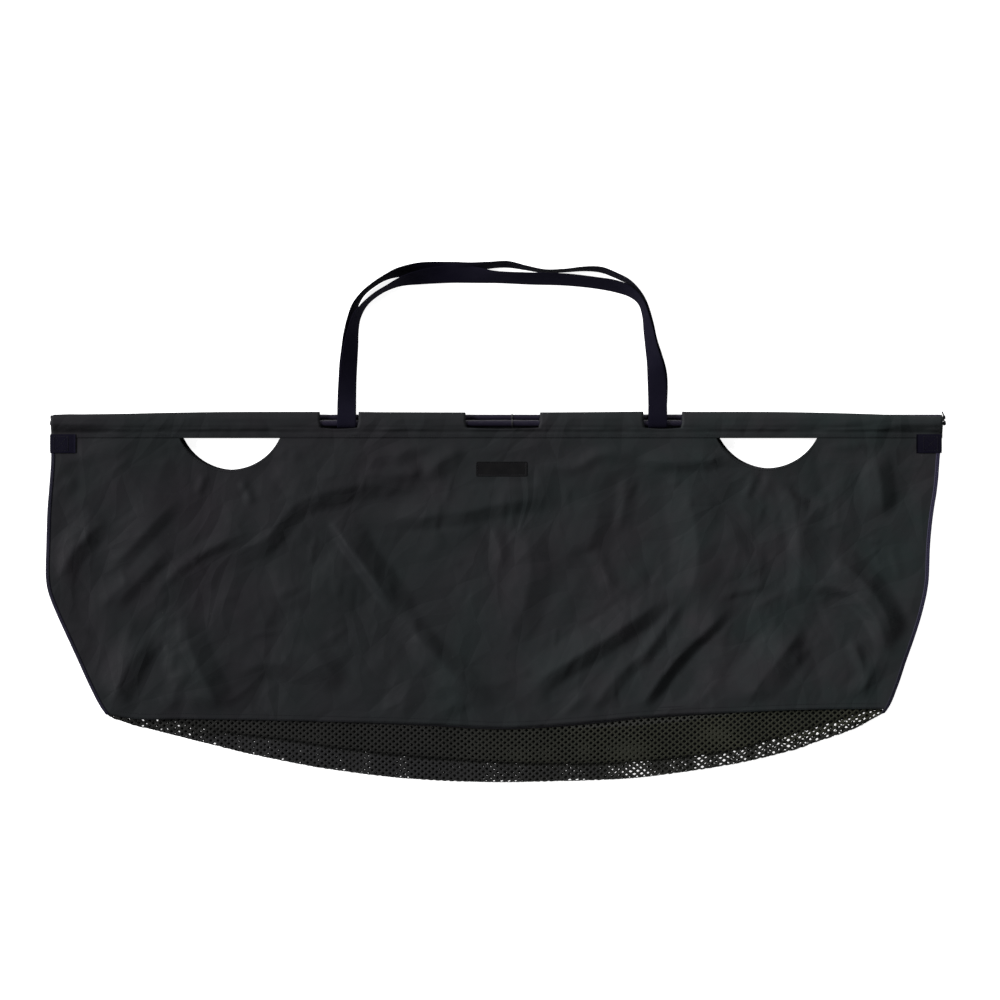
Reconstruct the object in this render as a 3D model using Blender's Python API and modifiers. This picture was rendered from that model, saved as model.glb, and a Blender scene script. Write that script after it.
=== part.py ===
"""A weigh sling lying flat: a long cloth sling for lifting a fish on a scale.

Two cloth panels hang from two poles that run in sleeves along their top edges. A net
base, folded along its middle, joins the panels' lower edges, so the sling makes a long
pouch that drains. Webbing handles loop round the poles in the sleeves' cut-outs. Each
pole is two tubes on a ferrule, held together by an elastic cord inside them.

X runs along the poles, Y from the net base towards the handles, and Z up from the
surface that the sling lies on. The origin is under the middle of the whole object.
"""

import math

import bmesh
import bpy
from mathutils import Vector

# The sling as it lies
PANEL_WIDTH = 1.204
PANEL_DROP = 0.4115
FRAME_X = 0.00767
HINGE_Y = -0.26515
CLEARANCE = 0.0003
CUT_OVERRUN = 0.005
MERGE_DISTANCE = 0.00001

# Cloth, webbing and tape
CLOTH_WALL = 0.0008
WEBBING_WIDTH = 0.0255
WEBBING_WALL = 0.0012
PILE_WALL = 0.0023
TAPE_WALL = 0.0005
TAPE_WIDTH = 0.012
BINDING_WIDTH = 0.008

# Poles
POLE_RADIUS = 0.004
POLE_BORE = 0.003
POLE_ACROSS = 0.008
POLE_ABOVE = 0.0086
POLE_TOP_DROP = 0.0060
POLE_LEFT_INSET = 0.0055
POLE_RIGHT_INSET = 0.0025
JOINT_X = 0.0150
FERRULE_LENGTH = 0.060
FERRULE_WALL = 0.00085
CORD_RADIUS = 0.0014
TUBE_STEPS = 16
LOOP_STEPS = 20
KNOT_STEPS = 8
CAP_SPIGOT = 0.008
CAP_RIM = 0.002
CAP_BORE = 0.0018
KNOT_RADIUS = 0.0032
KNOT_LENGTH = 0.0045

# Sleeves and their cut-outs
SLEEVE_BORE = 0.0048
SLEEVE_SLACK = 0.0004
SLEEVE_TAPER = 0.013
SLEEVE_DEPTH = 0.034
CHANNEL_STEPS = 10
SIDE_WINDOW_WIDTH = 0.051
LEFT_WINDOW_OUT = 0.0101
RIGHT_WINDOW_OUT = 0.0069
CENTRE_WINDOW_WIDTH = 0.100
CENTRE_WINDOW_X = 0.0024
WINDOW_DROP = 0.0215
WINDOW_BOW = 0.0015
WINDOW_FLARE = 0.003
WINDOW_STEPS = 8

# Hand holes: a straight top and a bowed lower edge
HAND_HOLE_WIDTH = 0.132
HAND_HOLE_DEPTH = 0.042
HAND_HOLE_DROP = 0.0345
LEFT_HAND_HOLE_X = 0.3665
RIGHT_HAND_HOLE_X = 0.3580
BACK_HAND_HOLE_SHIFT = 0.0035
HAND_HOLE_STEPS = 20

# Sides of the panels, from the top down: how far down, then how far in from the
# panel's half width, as shares of the panel's drop and of its width
LEFT_SIDE_SHARES = (
    (0.000, -0.0052), (0.130, -0.0052), (0.290, -0.0083), (0.470, -0.0113),
    (0.550, -0.0107), (0.605, -0.0068), (0.660, 0.0011), (0.825, 0.0269),
    (1.000, 0.0552),
)
RIGHT_SIDE_SHARES = (
    (0.000, 0.0044), (0.130, 0.0061), (0.270, 0.0106), (0.390, 0.0168),
    (0.475, 0.0196), (0.560, 0.0207), (0.640, 0.0258), (0.760, 0.0381),
    (0.870, 0.0505), (1.000, 0.0676),
)
SIDE_STEPS = 3

# Tabs that close the ends
TAB_DROP = 0.0415
TAB_REACH = 0.034
TAB_BELOW_BINDING = 0.003

# Net base: how far its outline bows, with the power of the share across that shapes it
NET_WALL = 0.0008
NET_STRAND = 0.0022
NET_LEAST_GAP = 0.0044
NET_DROP = 0.0885
NET_BACK_DROP = 0.0610
NET_END_WIDTH = 0.010
NET_LEFT_BOW_SHARE = 1.95
NET_RIGHT_BOW_SHARE = 2.6
BACK_EDGE_BOW_SHARE = 2.0
NET_ACROSS_STEPS = 24
NET_FRONT_STEPS = 4
NET_FOLD_STEPS = 3
NET_BACK_STEPS = 2

# Label
LABEL_WIDTH = 0.069
LABEL_HEIGHT = 0.020
LABEL_WALL = 0.0006
LABEL_DROP = 0.0758
LABEL_X = 0.0007
LABEL_CORNER = 0.002
LABEL_CORNER_STEPS = 4

# Handles: along the arch, each station is its place across, how high it is above the
# front pole, how far it leans over to its edge and how far it is lifted off the
# surface, as shares of the arch's half span and rise, a right angle and the height of
# the front loops' tops
ARCH_X = 0.0016
ARCH_HALF_SPAN = 0.2101
ARCH_RISE = 0.2130
STATION_STEPS = 2
FRONT_HANDLE_SHARES = (
    (-1.000, 0.000, 0.00, 1.005), (-1.000, 0.044, 0.00, 0.910), (-1.000, 0.111, 0.02, 0.575),
    (-0.998, 0.193, 0.14, 0.280), (-0.994, 0.288, 0.22, 0.145), (-0.985, 0.390, 0.32, 0.150),
    (-0.972, 0.492, 0.46, 0.140), (-0.958, 0.593, 0.62, 0.110), (-0.935, 0.679, 0.72, 0.085),
    (-0.883, 0.755, 0.84, 0.075), (-0.813, 0.816, 0.86, 0.075), (-0.735, 0.861, 0.84, 0.075),
    (-0.645, 0.900, 0.70, 0.080), (-0.529, 0.926, 0.48, 0.095), (-0.368, 0.945, 0.28, 0.110),
    (-0.214, 0.945, 0.30, 0.110), (-0.046, 0.933, 0.46, 0.100), (0.179, 0.922, 0.51, 0.090),
    (0.404, 0.914, 0.51, 0.090), (0.598, 0.896, 0.52, 0.085), (0.739, 0.867, 0.58, 0.080),
    (0.836, 0.825, 0.70, 0.075), (0.894, 0.765, 0.80, 0.075), (0.923, 0.682, 0.78, 0.080),
    (0.942, 0.581, 0.66, 0.090), (0.961, 0.473, 0.56, 0.130), (0.983, 0.371, 0.36, 0.150),
    (0.995, 0.276, 0.12, 0.145), (0.999, 0.187, 0.02, 0.250), (1.000, 0.111, 0.00, 0.575),
    (1.000, 0.044, 0.00, 0.910), (1.000, 0.000, 0.00, 1.005),
)
BACK_HANDLE_SHARES = (
    (-1.000, 0.062, 0.00, 0.580), (-1.000, 0.098, 0.00, 0.430), (-1.000, 0.155, 0.06, 0.170),
    (-0.998, 0.250, 0.20, 0.015), (-0.993, 0.365, 0.26, 0.007), (-0.986, 0.466, 0.38, 0.007),
    (-0.980, 0.568, 0.54, 0.007), (-0.968, 0.670, 0.72, 0.007), (-0.945, 0.749, 0.80, 0.007),
    (-0.896, 0.822, 0.84, 0.007), (-0.825, 0.879, 0.83, 0.007), (-0.748, 0.924, 0.77, 0.007),
    (-0.658, 0.959, 0.68, 0.007), (-0.523, 0.978, 0.50, 0.007), (-0.368, 0.973, 0.32, 0.010),
    (-0.214, 0.977, 0.42, 0.010), (-0.079, 1.003, 0.66, 0.007), (0.037, 1.013, 0.74, 0.007),
    (0.153, 0.992, 0.84, 0.007), (0.276, 0.973, 0.88, 0.007), (0.404, 0.980, 0.87, 0.007),
    (0.533, 0.988, 0.86, 0.007), (0.636, 0.978, 0.83, 0.007), (0.726, 0.941, 0.84, 0.007),
    (0.810, 0.898, 0.85, 0.007), (0.874, 0.835, 0.86, 0.007), (0.920, 0.759, 0.87, 0.007),
    (0.952, 0.644, 0.82, 0.007), (0.975, 0.524, 0.62, 0.007), (0.993, 0.416, 0.40, 0.007),
    (1.002, 0.320, 0.18, 0.007), (1.006, 0.231, 0.04, 0.025), (1.003, 0.155, 0.00, 0.180),
    (1.000, 0.098, 0.00, 0.430), (1.000, 0.062, 0.00, 0.580),
)

# Places worked out from the sizes above
TOP_Y = HINGE_Y + PANEL_DROP
BACK_POLE_Y = TOP_Y - POLE_TOP_DROP
FRONT_POLE_Y = BACK_POLE_Y - POLE_ACROSS
CHANNEL_RADIUS = SLEEVE_BORE + CLOTH_WALL
BACK_POLE_Z = CHANNEL_RADIUS
FRONT_POLE_Z = BACK_POLE_Z + POLE_ABOVE
BACK_PANEL_Z = WEBBING_WALL + CLEARANCE
HEM_WALL = 2 * CLOTH_WALL
FRONT_PANEL_Z = BACK_PANEL_Z + HEM_WALL + 2 * PILE_WALL + 3 * CLEARANCE
HALF_WIDTH = PANEL_WIDTH / 2
SEAM_Y = TOP_Y - SLEEVE_DEPTH
LEFT_END = FRAME_X - HALF_WIDTH + PANEL_WIDTH * LEFT_SIDE_SHARES[0][1]
RIGHT_END = FRAME_X + HALF_WIDTH - PANEL_WIDTH * RIGHT_SIDE_SHARES[0][1]
POLE_LEFT_X = LEFT_END + POLE_LEFT_INSET
POLE_RIGHT_X = RIGHT_END - POLE_RIGHT_INSET
SPLIT_X = FRAME_X + JOINT_X
LEFT_FOOT_X = FRAME_X + ARCH_X - ARCH_HALF_SPAN
RIGHT_FOOT_X = FRAME_X + ARCH_X + ARCH_HALF_SPAN
LOOP_RADIUS = POLE_RADIUS + CLEARANCE + WEBBING_WALL
ARCH_LIFT = FRONT_POLE_Z + LOOP_RADIUS + CLEARANCE


def clear_scene():
    for obj in list(bpy.data.objects):
        bpy.data.objects.remove(obj, do_unlink=True)


def new_collection(name):
    made = bpy.data.collections.new(name)
    bpy.context.scene.collection.children.link(made)
    return made


def new_material(name, colour, roughness, metallic=0.0):
    made = bpy.data.materials.new(name)
    made.use_nodes = True
    shader = made.node_tree.nodes["Principled BSDF"]
    shader.inputs["Base Color"].default_value = (*colour, 1.0)
    shader.inputs["Roughness"].default_value = roughness
    shader.inputs["Metallic"].default_value = metallic
    return made


def add_object(name, mesh, group, material=None):
    """Links a mesh as an object, with its material."""
    made = bpy.data.objects.new(name, mesh)
    group.objects.link(made)
    if material:
        mesh.materials.append(material)
    return made


def smooth_path(points, steps):
    """A curve through the points, with each stretch cut into a number of steps."""
    count = len(points)
    path = []
    for index in range(count - 1):
        before = Vector(points[max(index - 1, 0)])
        start, end = Vector(points[index]), Vector(points[index + 1])
        after = Vector(points[min(index + 2, count - 1)])
        for step in range(steps):
            t = step / steps
            path.append(
                0.5
                * (
                    2 * start
                    + (end - before) * t
                    + (2 * before - 5 * start + 4 * end - after) * t**2
                    + (3 * start - before - 3 * end + after) * t**3
                )
            )
    path.append(Vector(points[-1]))
    return path


def outline_solid(name, loops, depth, group, material=None):
    """A flat outline, with any holes in it, made a solid of the given depth about Z = 0."""
    curve = bpy.data.curves.new(name, "CURVE")
    curve.dimensions = "2D"
    curve.fill_mode = "BOTH"
    curve.extrude = depth / 2
    for points in loops:
        spline = curve.splines.new("POLY")
        spline.points.add(len(points) - 1)
        for point, place in zip(spline.points, points):
            point.co = (place[0], place[1], 0, 1)
        spline.use_cyclic_u = True
    holder = bpy.data.objects.new(name + "_outline", curve)
    group.objects.link(holder)
    bpy.context.view_layer.update()
    graph = bpy.context.evaluated_depsgraph_get()
    mesh = bpy.data.meshes.new_from_object(holder.evaluated_get(graph))
    bpy.data.objects.remove(holder, do_unlink=True)
    bpy.data.curves.remove(curve)
    work = bmesh.new()
    work.from_mesh(mesh)
    bmesh.ops.remove_doubles(work, verts=work.verts, dist=MERGE_DISTANCE)
    bmesh.ops.recalc_face_normals(work, faces=work.faces)
    work.to_mesh(mesh)
    work.free()
    mesh.name = name
    return add_object(name, mesh, group, material)


def plate(name, points, low, high, group, material=None):
    """A flat piece whose outline lies level, from one height to another."""
    made = outline_solid(name, [points], high - low, group, material)
    made.location.z = (low + high) / 2
    return made


def cloth_strip(name, columns, rows, place, wall, group, material):
    """A grid bent to a shape by place(u, v) and thickened evenly to both sides."""
    work = bmesh.new()
    bmesh.ops.create_grid(work, x_segments=columns, y_segments=rows, size=0.5)
    for vert in work.verts:
        vert.co = place(vert.co.x + 0.5, vert.co.y + 0.5)
    mesh = bpy.data.meshes.new(name)
    work.to_mesh(mesh)
    work.free()
    made = add_object(name, mesh, group, material)
    thicken(made, wall)
    return made


def thicken(piece, wall):
    made = piece.modifiers.new("wall", "SOLIDIFY")
    made.thickness = wall
    made.offset = 0
    made.use_even_offset = True


def cut(piece, cutter, operation="DIFFERENCE"):
    made = piece.modifiers.new(cutter.name, "BOOLEAN")
    made.operation = operation
    made.solver = "EXACT"
    made.object = cutter


def hide_cutter(cutter):
    cutter.hide_render = True
    cutter.display_type = "WIRE"
    return cutter


def turned(name, profile, x, y, z, steps, group, material):
    """A closed profile of (radius, distance along X) turned about a line along X."""
    mesh = bpy.data.meshes.new(name)
    work = bmesh.new()
    verts = [work.verts.new((radius, 0, along)) for radius, along in profile]
    for index, vert in enumerate(verts):
        if profile[index - 1][0] or profile[index][0]:
            work.edges.new((verts[index - 1], vert))
    work.to_mesh(mesh)
    work.free()
    made = add_object(name, mesh, group, material)
    turn = made.modifiers.new("turn", "SCREW")
    turn.axis = "Z"
    turn.steps = steps
    turn.render_steps = steps
    turn.use_merge_vertices = True
    turn.merge_threshold = MERGE_DISTANCE
    made.rotation_euler = (0, math.pi / 2, 0)
    made.location = (x, y, z)
    return made


def ring_profile(bore, radius, start, end):
    """The section of a plain tube, run down its outer side."""
    return [(bore, end), (radius, end), (radius, start), (bore, start)]


def side_points(shares, side):
    """A panel's side from the top down, on the left (-1) or the right (1): straight past
    the sleeve, then curved."""
    rough = [
        (
            FRAME_X + side * (HALF_WIDTH - share_in * PANEL_WIDTH),
            TOP_Y - share_down * PANEL_DROP,
        )
        for share_down, share_in in shares
    ]
    curved = smooth_path([(*point, 0) for point in rough[1:]], SIDE_STEPS)
    return rough[:1] + [(place.x, place.y) for place in curved]


def side_at(path, y):
    """The X of a side at a height on the panel."""
    for (x_upper, y_upper), (x_lower, y_lower) in zip(path, path[1:]):
        if y_upper >= y >= y_lower:
            return x_lower + (x_upper - x_lower) * (y - y_lower) / (y_upper - y_lower)
    return path[-1][0]


def base_drop(x, depth, left_bow, right_bow):
    """How far an edge of the base bows below the hinge line at a place across."""
    left, right = LEFT_SIDE[-1][0], RIGHT_SIDE[-1][0]
    middle, half = (left + right) / 2, (right - left) / 2
    share = min(abs(x - middle) / half, 1)
    return depth * (1 - share ** (left_bow if x < middle else right_bow))


def tangent_angles(point, centre, radius):
    """The angles at which lines from a point outside a circle touch it."""
    away = Vector(point) - Vector(centre)
    facing = math.atan2(away.y, away.x)
    spread = math.acos(radius / away.length)
    return facing + spread, facing - spread


def channel_arc(point_low, point_high, centre, radius):
    """The stretch of a sleeve that wraps the pole, from its lower wall to its upper."""
    low = tangent_angles(point_low, centre, radius)[0]
    high = tangent_angles(point_high, centre, radius)[1] + 2 * math.pi
    return [
        (
            centre[0] + radius * math.cos(low + (high - low) * step / CHANNEL_STEPS),
            centre[1] + radius * math.sin(low + (high - low) * step / CHANNEL_STEPS),
        )
        for step in range(CHANNEL_STEPS + 1)
    ]


def panel_section(pole_y, pole_z, low_z, bottom_y):
    """A panel cut across: flat cloth that runs up, wraps the pole and is sewn to itself."""
    centre = (pole_y + SLEEVE_SLACK, pole_z)
    tip_y = pole_y - SLEEVE_TAPER
    flat_top = low_z + CLOTH_WALL
    doubled = low_z + HEM_WALL
    outer = [(bottom_y, low_z), (tip_y, low_z)]
    outer += channel_arc((tip_y, low_z), (tip_y, doubled), centre, CHANNEL_RADIUS)
    outer += [(tip_y, doubled), (SEAM_Y, doubled), (SEAM_Y, flat_top), (bottom_y, flat_top)]
    tip = (tip_y + CLOTH_WALL, flat_top)
    inner = [tip] + channel_arc(tip, tip, centre, SLEEVE_BORE)
    return [outer, inner]


def hand_hole_outline(x):
    """A straight top edge closed below by an arc."""
    top = TOP_Y - HAND_HOLE_DROP
    half = HAND_HOLE_WIDTH / 2
    radius = (half**2 + HAND_HOLE_DEPTH**2) / (2 * HAND_HOLE_DEPTH)
    spread = math.asin(half / radius)
    middle_y = top - HAND_HOLE_DEPTH + radius
    points = []
    for step in range(HAND_HOLE_STEPS + 1):
        angle = -math.pi / 2 - spread + 2 * spread * step / HAND_HOLE_STEPS
        points.append((x + radius * math.cos(angle), middle_y + radius * math.sin(angle)))
    return points


def window_outline(x, width):
    """A cut-out in the sleeve: open at the top, flared there, with a bowed lower edge."""
    low = TOP_Y - WINDOW_DROP
    high = TOP_Y + CUT_OVERRUN
    half = width / 2
    points = [(x + half + WINDOW_FLARE, high), (x - half - WINDOW_FLARE, high)]
    for step in range(WINDOW_STEPS + 1):
        share = 2 * step / WINDOW_STEPS - 1
        points.append((x + half * share, low + WINDOW_BOW * share**2))
    return points


def panel(name, pole_y, pole_z, low_z, base, hole_shift, material):
    """A cloth panel with its sleeve, cut to its outline, with windows and hand holes."""
    bottom_y = HINGE_Y - NET_BACK_DROP - CUT_OVERRUN
    length = 2 * PANEL_WIDTH
    made = outline_solid(
        name, panel_section(pole_y, pole_z, low_z, bottom_y), length, PARTS, material
    )
    made.rotation_euler = (math.pi / 2, 0, math.pi / 2)
    above = TOP_Y + CUT_OVERRUN
    around = [(LEFT_END, above)] + LEFT_SIDE[1:-1] + base + RIGHT_SIDE[-2:0:-1]
    around += [(RIGHT_END, above)]
    low, high = -CUT_OVERRUN, FRONT_POLE_Z + CHANNEL_RADIUS + CUT_OVERRUN
    cut(made, hide_cutter(plate(name + "_outline", around, low, high, CUTTERS)), "INTERSECT")
    for side, x in (
        ("left", FRAME_X - LEFT_HAND_HOLE_X),
        ("right", FRAME_X + RIGHT_HAND_HOLE_X),
    ):
        hole = hand_hole_outline(x + hole_shift)
        cut(made, hide_cutter(plate(f"{name}_{side}_hand_hole", hole, low, high, CUTTERS)))
    for side, x, width in (
        ("left", LEFT_FOOT_X - LEFT_WINDOW_OUT, SIDE_WINDOW_WIDTH),
        ("centre", FRAME_X + CENTRE_WINDOW_X, CENTRE_WINDOW_WIDTH),
        ("right", RIGHT_FOOT_X + RIGHT_WINDOW_OUT, SIDE_WINDOW_WIDTH),
    ):
        window = window_outline(x, width)
        cut(made, hide_cutter(plate(f"{name}_{side}_window", window, low, high, CUTTERS)))
    return made


def binding(name, path, side, low_z, material):
    """Tape folded over a panel's side edge, from under the tab to the base corner."""
    start_y = TOP_Y - TAB_DROP - WEBBING_WIDTH / 2 - TAB_BELOW_BINDING
    end_y = HINGE_Y + TAPE_WIDTH / 2 + CLEARANCE
    inside = [place for place in path if start_y > place[1] > end_y]
    route = [(side_at(path, start_y), start_y)] + inside + [(side_at(path, end_y), end_y)]
    away = CLEARANCE + TAPE_WALL / 2
    high = low_z + CLOTH_WALL + away
    low = low_z - away
    section = ((-BINDING_WIDTH, high), (away, high), (away, low), (-BINDING_WIDTH, low))

    def place(u, v):
        x, y = route[round(u * (len(route) - 1))]
        out, z = section[round(v * (len(section) - 1))]
        return (x + side * out, y, z)

    return cloth_strip(
        name, len(route) - 1, len(section) - 1, place, TAPE_WALL, PARTS, material
    )


def end_tab(name, path, side, low_z, is_front, material):
    """Webbing folded over a panel's side edge, with its pile or hooks on the inside."""
    middle_y = TOP_Y - TAB_DROP
    reach = [side * side_at(path, middle_y + step * WEBBING_WIDTH / 2) for step in (-1, 0, 1)]
    edge = side * max(reach) + side * CLEARANCE
    outer_edge = edge + side * WEBBING_WALL
    inner_end = edge - side * TAB_REACH
    high = low_z + HEM_WALL + CLEARANCE
    low = low_z - CLEARANCE
    upper = high + (WEBBING_WALL if is_front else PILE_WALL)
    lower = low - (PILE_WALL if is_front else WEBBING_WALL)
    points = [
        (inner_end, high), (edge, high), (edge, low), (inner_end, low),
        (inner_end, lower), (outer_edge, lower), (outer_edge, upper), (inner_end, upper),
    ]
    made = outline_solid(name, [points], WEBBING_WIDTH, PARTS, material)
    made.rotation_euler = (math.pi / 2, 0, 0)
    made.location.y = middle_y
    return made


def net_width(x):
    """The net's front leaf, from the hinge line to the fold's start, at a place across."""
    drop = base_drop(x, NET_DROP - NET_END_WIDTH, NET_LEFT_BOW_SHARE, NET_RIGHT_BOW_SHARE)
    return drop + NET_END_WIDTH - FOLD_RADIUS


def net_back_width(x):
    """The net's back leaf, from the fold to the back panel's lower edge."""
    edge = base_drop(x, NET_BACK_DROP, BACK_EDGE_BOW_SHARE, BACK_EDGE_BOW_SHARE)
    return max(net_width(x) - edge - CLEARANCE, NET_STRAND)


def net_base(material):
    """A net with diamond holes, laid out flat, then folded along its middle."""
    rows = NET_FRONT_STEPS + NET_FOLD_STEPS + NET_BACK_STEPS
    fold = math.pi * FOLD_RADIUS
    left = LEFT_SIDE[-1][0] + CLEARANCE
    right = RIGHT_SIDE[-1][0] - CLEARANCE
    work = bmesh.new()
    bmesh.ops.create_grid(work, x_segments=NET_ACROSS_STEPS, y_segments=rows, size=0.5)
    leaves = []
    for face in work.faces:
        row = math.floor((face.calc_center_median().y + 0.5) * rows)
        if not NET_FRONT_STEPS <= row < NET_FRONT_STEPS + NET_FOLD_STEPS:
            leaves.append(face)
    for vert in work.verts:
        x = left + (right - left) * (vert.co.x + 0.5)
        row = round((vert.co.y + 0.5) * rows)
        if row <= NET_FRONT_STEPS:
            across = net_width(x) * row / NET_FRONT_STEPS
        elif row <= NET_FRONT_STEPS + NET_FOLD_STEPS:
            across = net_width(x) + fold * (row - NET_FRONT_STEPS) / NET_FOLD_STEPS
        else:
            back_row = row - NET_FRONT_STEPS - NET_FOLD_STEPS
            across = net_width(x) + fold + net_back_width(x) * back_row / NET_BACK_STEPS
        vert.co = (x, across, 0)
    centres = set(bmesh.ops.poke(work, faces=leaves)["verts"])
    between = [
        edge
        for edge in work.edges
        if len(edge.link_faces) == 2
        and not centres & set(edge.verts)
        and all(len(face.verts) == 3 for face in edge.link_faces)
    ]
    bmesh.ops.dissolve_edges(work, edges=between, use_verts=False)
    work.faces.ensure_lookup_table()
    holes = [
        face
        for face in work.faces
        if len(face.verts) == 4
        and centres & set(face.verts)
        and face.calc_area() > NET_LEAST_GAP * max(e.calc_length() for e in face.edges)
    ]
    bmesh.ops.inset_individual(
        work, faces=holes, thickness=NET_STRAND / 2, use_even_offset=True
    )
    bmesh.ops.delete(work, geom=holes, context="FACES_ONLY")
    for vert in work.verts:
        x, across, _ = vert.co
        width = net_width(x)
        if across <= width:
            vert.co = (x, HINGE_Y - CLEARANCE - across, FRONT_LEAF_Z)
        elif across <= width + fold:
            angle = (across - width) / FOLD_RADIUS
            vert.co = (
                x,
                HINGE_Y - CLEARANCE - width - FOLD_RADIUS * math.sin(angle),
                BACK_LEAF_Z + FOLD_RADIUS * (1 + math.cos(angle)),
            )
        else:
            vert.co = (x, HINGE_Y - CLEARANCE - width + across - width - fold, BACK_LEAF_Z)
    mesh = bpy.data.meshes.new("net_base")
    work.to_mesh(mesh)
    work.free()
    made = add_object("net_base", mesh, PARTS, material)
    thicken(made, NET_WALL)
    return made


def front_seam_tape(material):
    """Tape sewn inside the seam between the front panel and the net."""
    left = LEFT_SIDE[-1][0] + TAPE_WIDTH
    right = RIGHT_SIDE[-1][0] - TAPE_WIDTH
    z = FRONT_PANEL_Z - CLEARANCE - TAPE_WALL / 2

    def place(u, v):
        return (left + (right - left) * u, HINGE_Y + TAPE_WIDTH * (v - 0.5), z)

    return cloth_strip("front_seam_tape", 1, 1, place, TAPE_WALL, PARTS, material)


def back_seam_tape(material):
    """Tape sewn inside the seam between the back panel and the net."""
    left = LEFT_SIDE[-1][0] + TAPE_WIDTH
    right = RIGHT_SIDE[-1][0] - TAPE_WIDTH
    z = BACK_PANEL_Z + CLOTH_WALL + CLEARANCE + TAPE_WALL / 2

    def place(u, v):
        x = left + (right - left) * u
        edge = HINGE_Y - base_drop(x, NET_BACK_DROP, BACK_EDGE_BOW_SHARE, BACK_EDGE_BOW_SHARE)
        return (x, edge + TAPE_WIDTH * (v - 0.5), z)

    return cloth_strip("back_seam_tape", NET_ACROSS_STEPS, 1, place, TAPE_WALL, PARTS, material)


def handle(name, shares, material):
    """Webbing that follows its stations, leaning over to its edge round the corners."""
    rough = [
        Vector((across, rise, lean, lift)) for across, rise, lean, lift in shares
    ]
    stations = smooth_path(rough, STATION_STEPS)
    route = []
    for across, rise, lean, lift in stations:
        route.append(
            (
                Vector(
                    (
                        FRAME_X + ARCH_X + across * ARCH_HALF_SPAN,
                        FRONT_POLE_Y + rise * ARCH_RISE,
                    )
                ),
                lean * math.pi / 2,
                lift * ARCH_LIFT,
            )
        )
    last = len(route) - 1

    def place(u, v):
        index = round(u * last)
        middle, lean, lift = route[index]
        ahead = route[min(index + 1, last)][0] - route[max(index - 1, 0)][0]
        ahead.normalize()
        outward = Vector((-ahead.y, ahead.x))
        half = WEBBING_WIDTH / 2
        reach = (v - 0.5) * WEBBING_WIDTH
        flat = middle + outward * reach * math.cos(lean)
        height = WEBBING_WALL / 2 + lift + (half + reach) * math.sin(lean)
        return (flat.x, flat.y, height)

    return cloth_strip(name, last, 1, place, WEBBING_WALL, PARTS, material)


def pole(name, y, z, materials):
    """Two tubes on a ferrule, with caps, and an elastic cord knotted at both ends."""
    tube_material, ferrule_material, cap_material, cord_material = materials
    half_gap = CLEARANCE / 2
    left_end, right_end = POLE_LEFT_X, POLE_RIGHT_X
    for part, start, end in (
        ("tube_left", left_end, SPLIT_X - half_gap),
        ("tube_right", SPLIT_X + half_gap, right_end),
    ):
        section = ring_profile(POLE_BORE, POLE_RADIUS, start, end)
        turned(f"{name}_{part}", section, 0, y, z, TUBE_STEPS, PARTS, tube_material)
    ferrule_radius = POLE_BORE - CLEARANCE
    section = ring_profile(
        ferrule_radius - FERRULE_WALL,
        ferrule_radius,
        SPLIT_X - FERRULE_LENGTH / 2,
        SPLIT_X + FERRULE_LENGTH / 2,
    )
    turned(f"{name}_ferrule", section, 0, y, z, TUBE_STEPS, PARTS, ferrule_material)
    for part, end, side in (("left", left_end, -1), ("right", right_end, 1)):
        face = end + side * CLEARANCE
        rim = face + side * CAP_RIM
        inner = end - side * CAP_SPIGOT
        section = [
            (CAP_BORE, rim), (POLE_RADIUS, rim), (POLE_RADIUS, face),
            (ferrule_radius, face), (ferrule_radius, inner), (CAP_BORE, inner),
        ]
        if side < 0:
            section.reverse()
        turned(f"{name}_cap_{part}", section, 0, y, z, TUBE_STEPS, PARTS, cap_material)
        start = rim + side * CLEARANCE
        section = [
            (0, start), (KNOT_RADIUS / 2, start), (KNOT_RADIUS, start + side * KNOT_LENGTH / 3),
            (KNOT_RADIUS, start + side * KNOT_LENGTH * 2 / 3),
            (KNOT_RADIUS / 2, start + side * KNOT_LENGTH), (0, start + side * KNOT_LENGTH),
        ]
        if side > 0:
            section.reverse()
        turned(f"{name}_knot_{part}", section, 0, y, z, KNOT_STEPS, PARTS, cord_material)
    cord = bpy.data.curves.new(f"{name}_shock_cord", "CURVE")
    cord.dimensions = "3D"
    cord.bevel_depth = CORD_RADIUS
    cord.bevel_resolution = 1
    cord.use_fill_caps = True
    spline = cord.splines.new("POLY")
    spline.points.add(1)
    spline.points[0].co = (left_end - CAP_RIM, y, z, 1)
    spline.points[1].co = (right_end + CAP_RIM, y, z, 1)
    made = bpy.data.objects.new(f"{name}_shock_cord", cord)
    cord.materials.append(cord_material)
    PARTS.objects.link(made)


def foot_loop(name, x, y, z, material):
    """The sewn loop at a handle's foot, round its pole."""
    bore = POLE_RADIUS + CLEARANCE
    section = ring_profile(bore, LOOP_RADIUS, -WEBBING_WIDTH / 2, WEBBING_WIDTH / 2)
    turned(name, section, x, y, z, LOOP_STEPS, PARTS, material)


def label(material):
    """A bare patch with rounded corners, sewn on the front panel."""
    middle = (FRAME_X + LABEL_X, TOP_Y - LABEL_DROP)
    points = []
    for quarter, (side, end) in enumerate(((1, 1), (-1, 1), (-1, -1), (1, -1))):
        corner = (
            middle[0] + side * (LABEL_WIDTH / 2 - LABEL_CORNER),
            middle[1] + end * (LABEL_HEIGHT / 2 - LABEL_CORNER),
        )
        for step in range(LABEL_CORNER_STEPS + 1):
            angle = math.pi / 2 * (quarter + step / LABEL_CORNER_STEPS)
            points.append(
                (
                    corner[0] + LABEL_CORNER * math.cos(angle),
                    corner[1] + LABEL_CORNER * math.sin(angle),
                )
            )
    low = FRONT_PANEL_Z + CLOTH_WALL + CLEARANCE
    plate("label", points, low, low + LABEL_WALL, PARTS, material)


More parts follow.
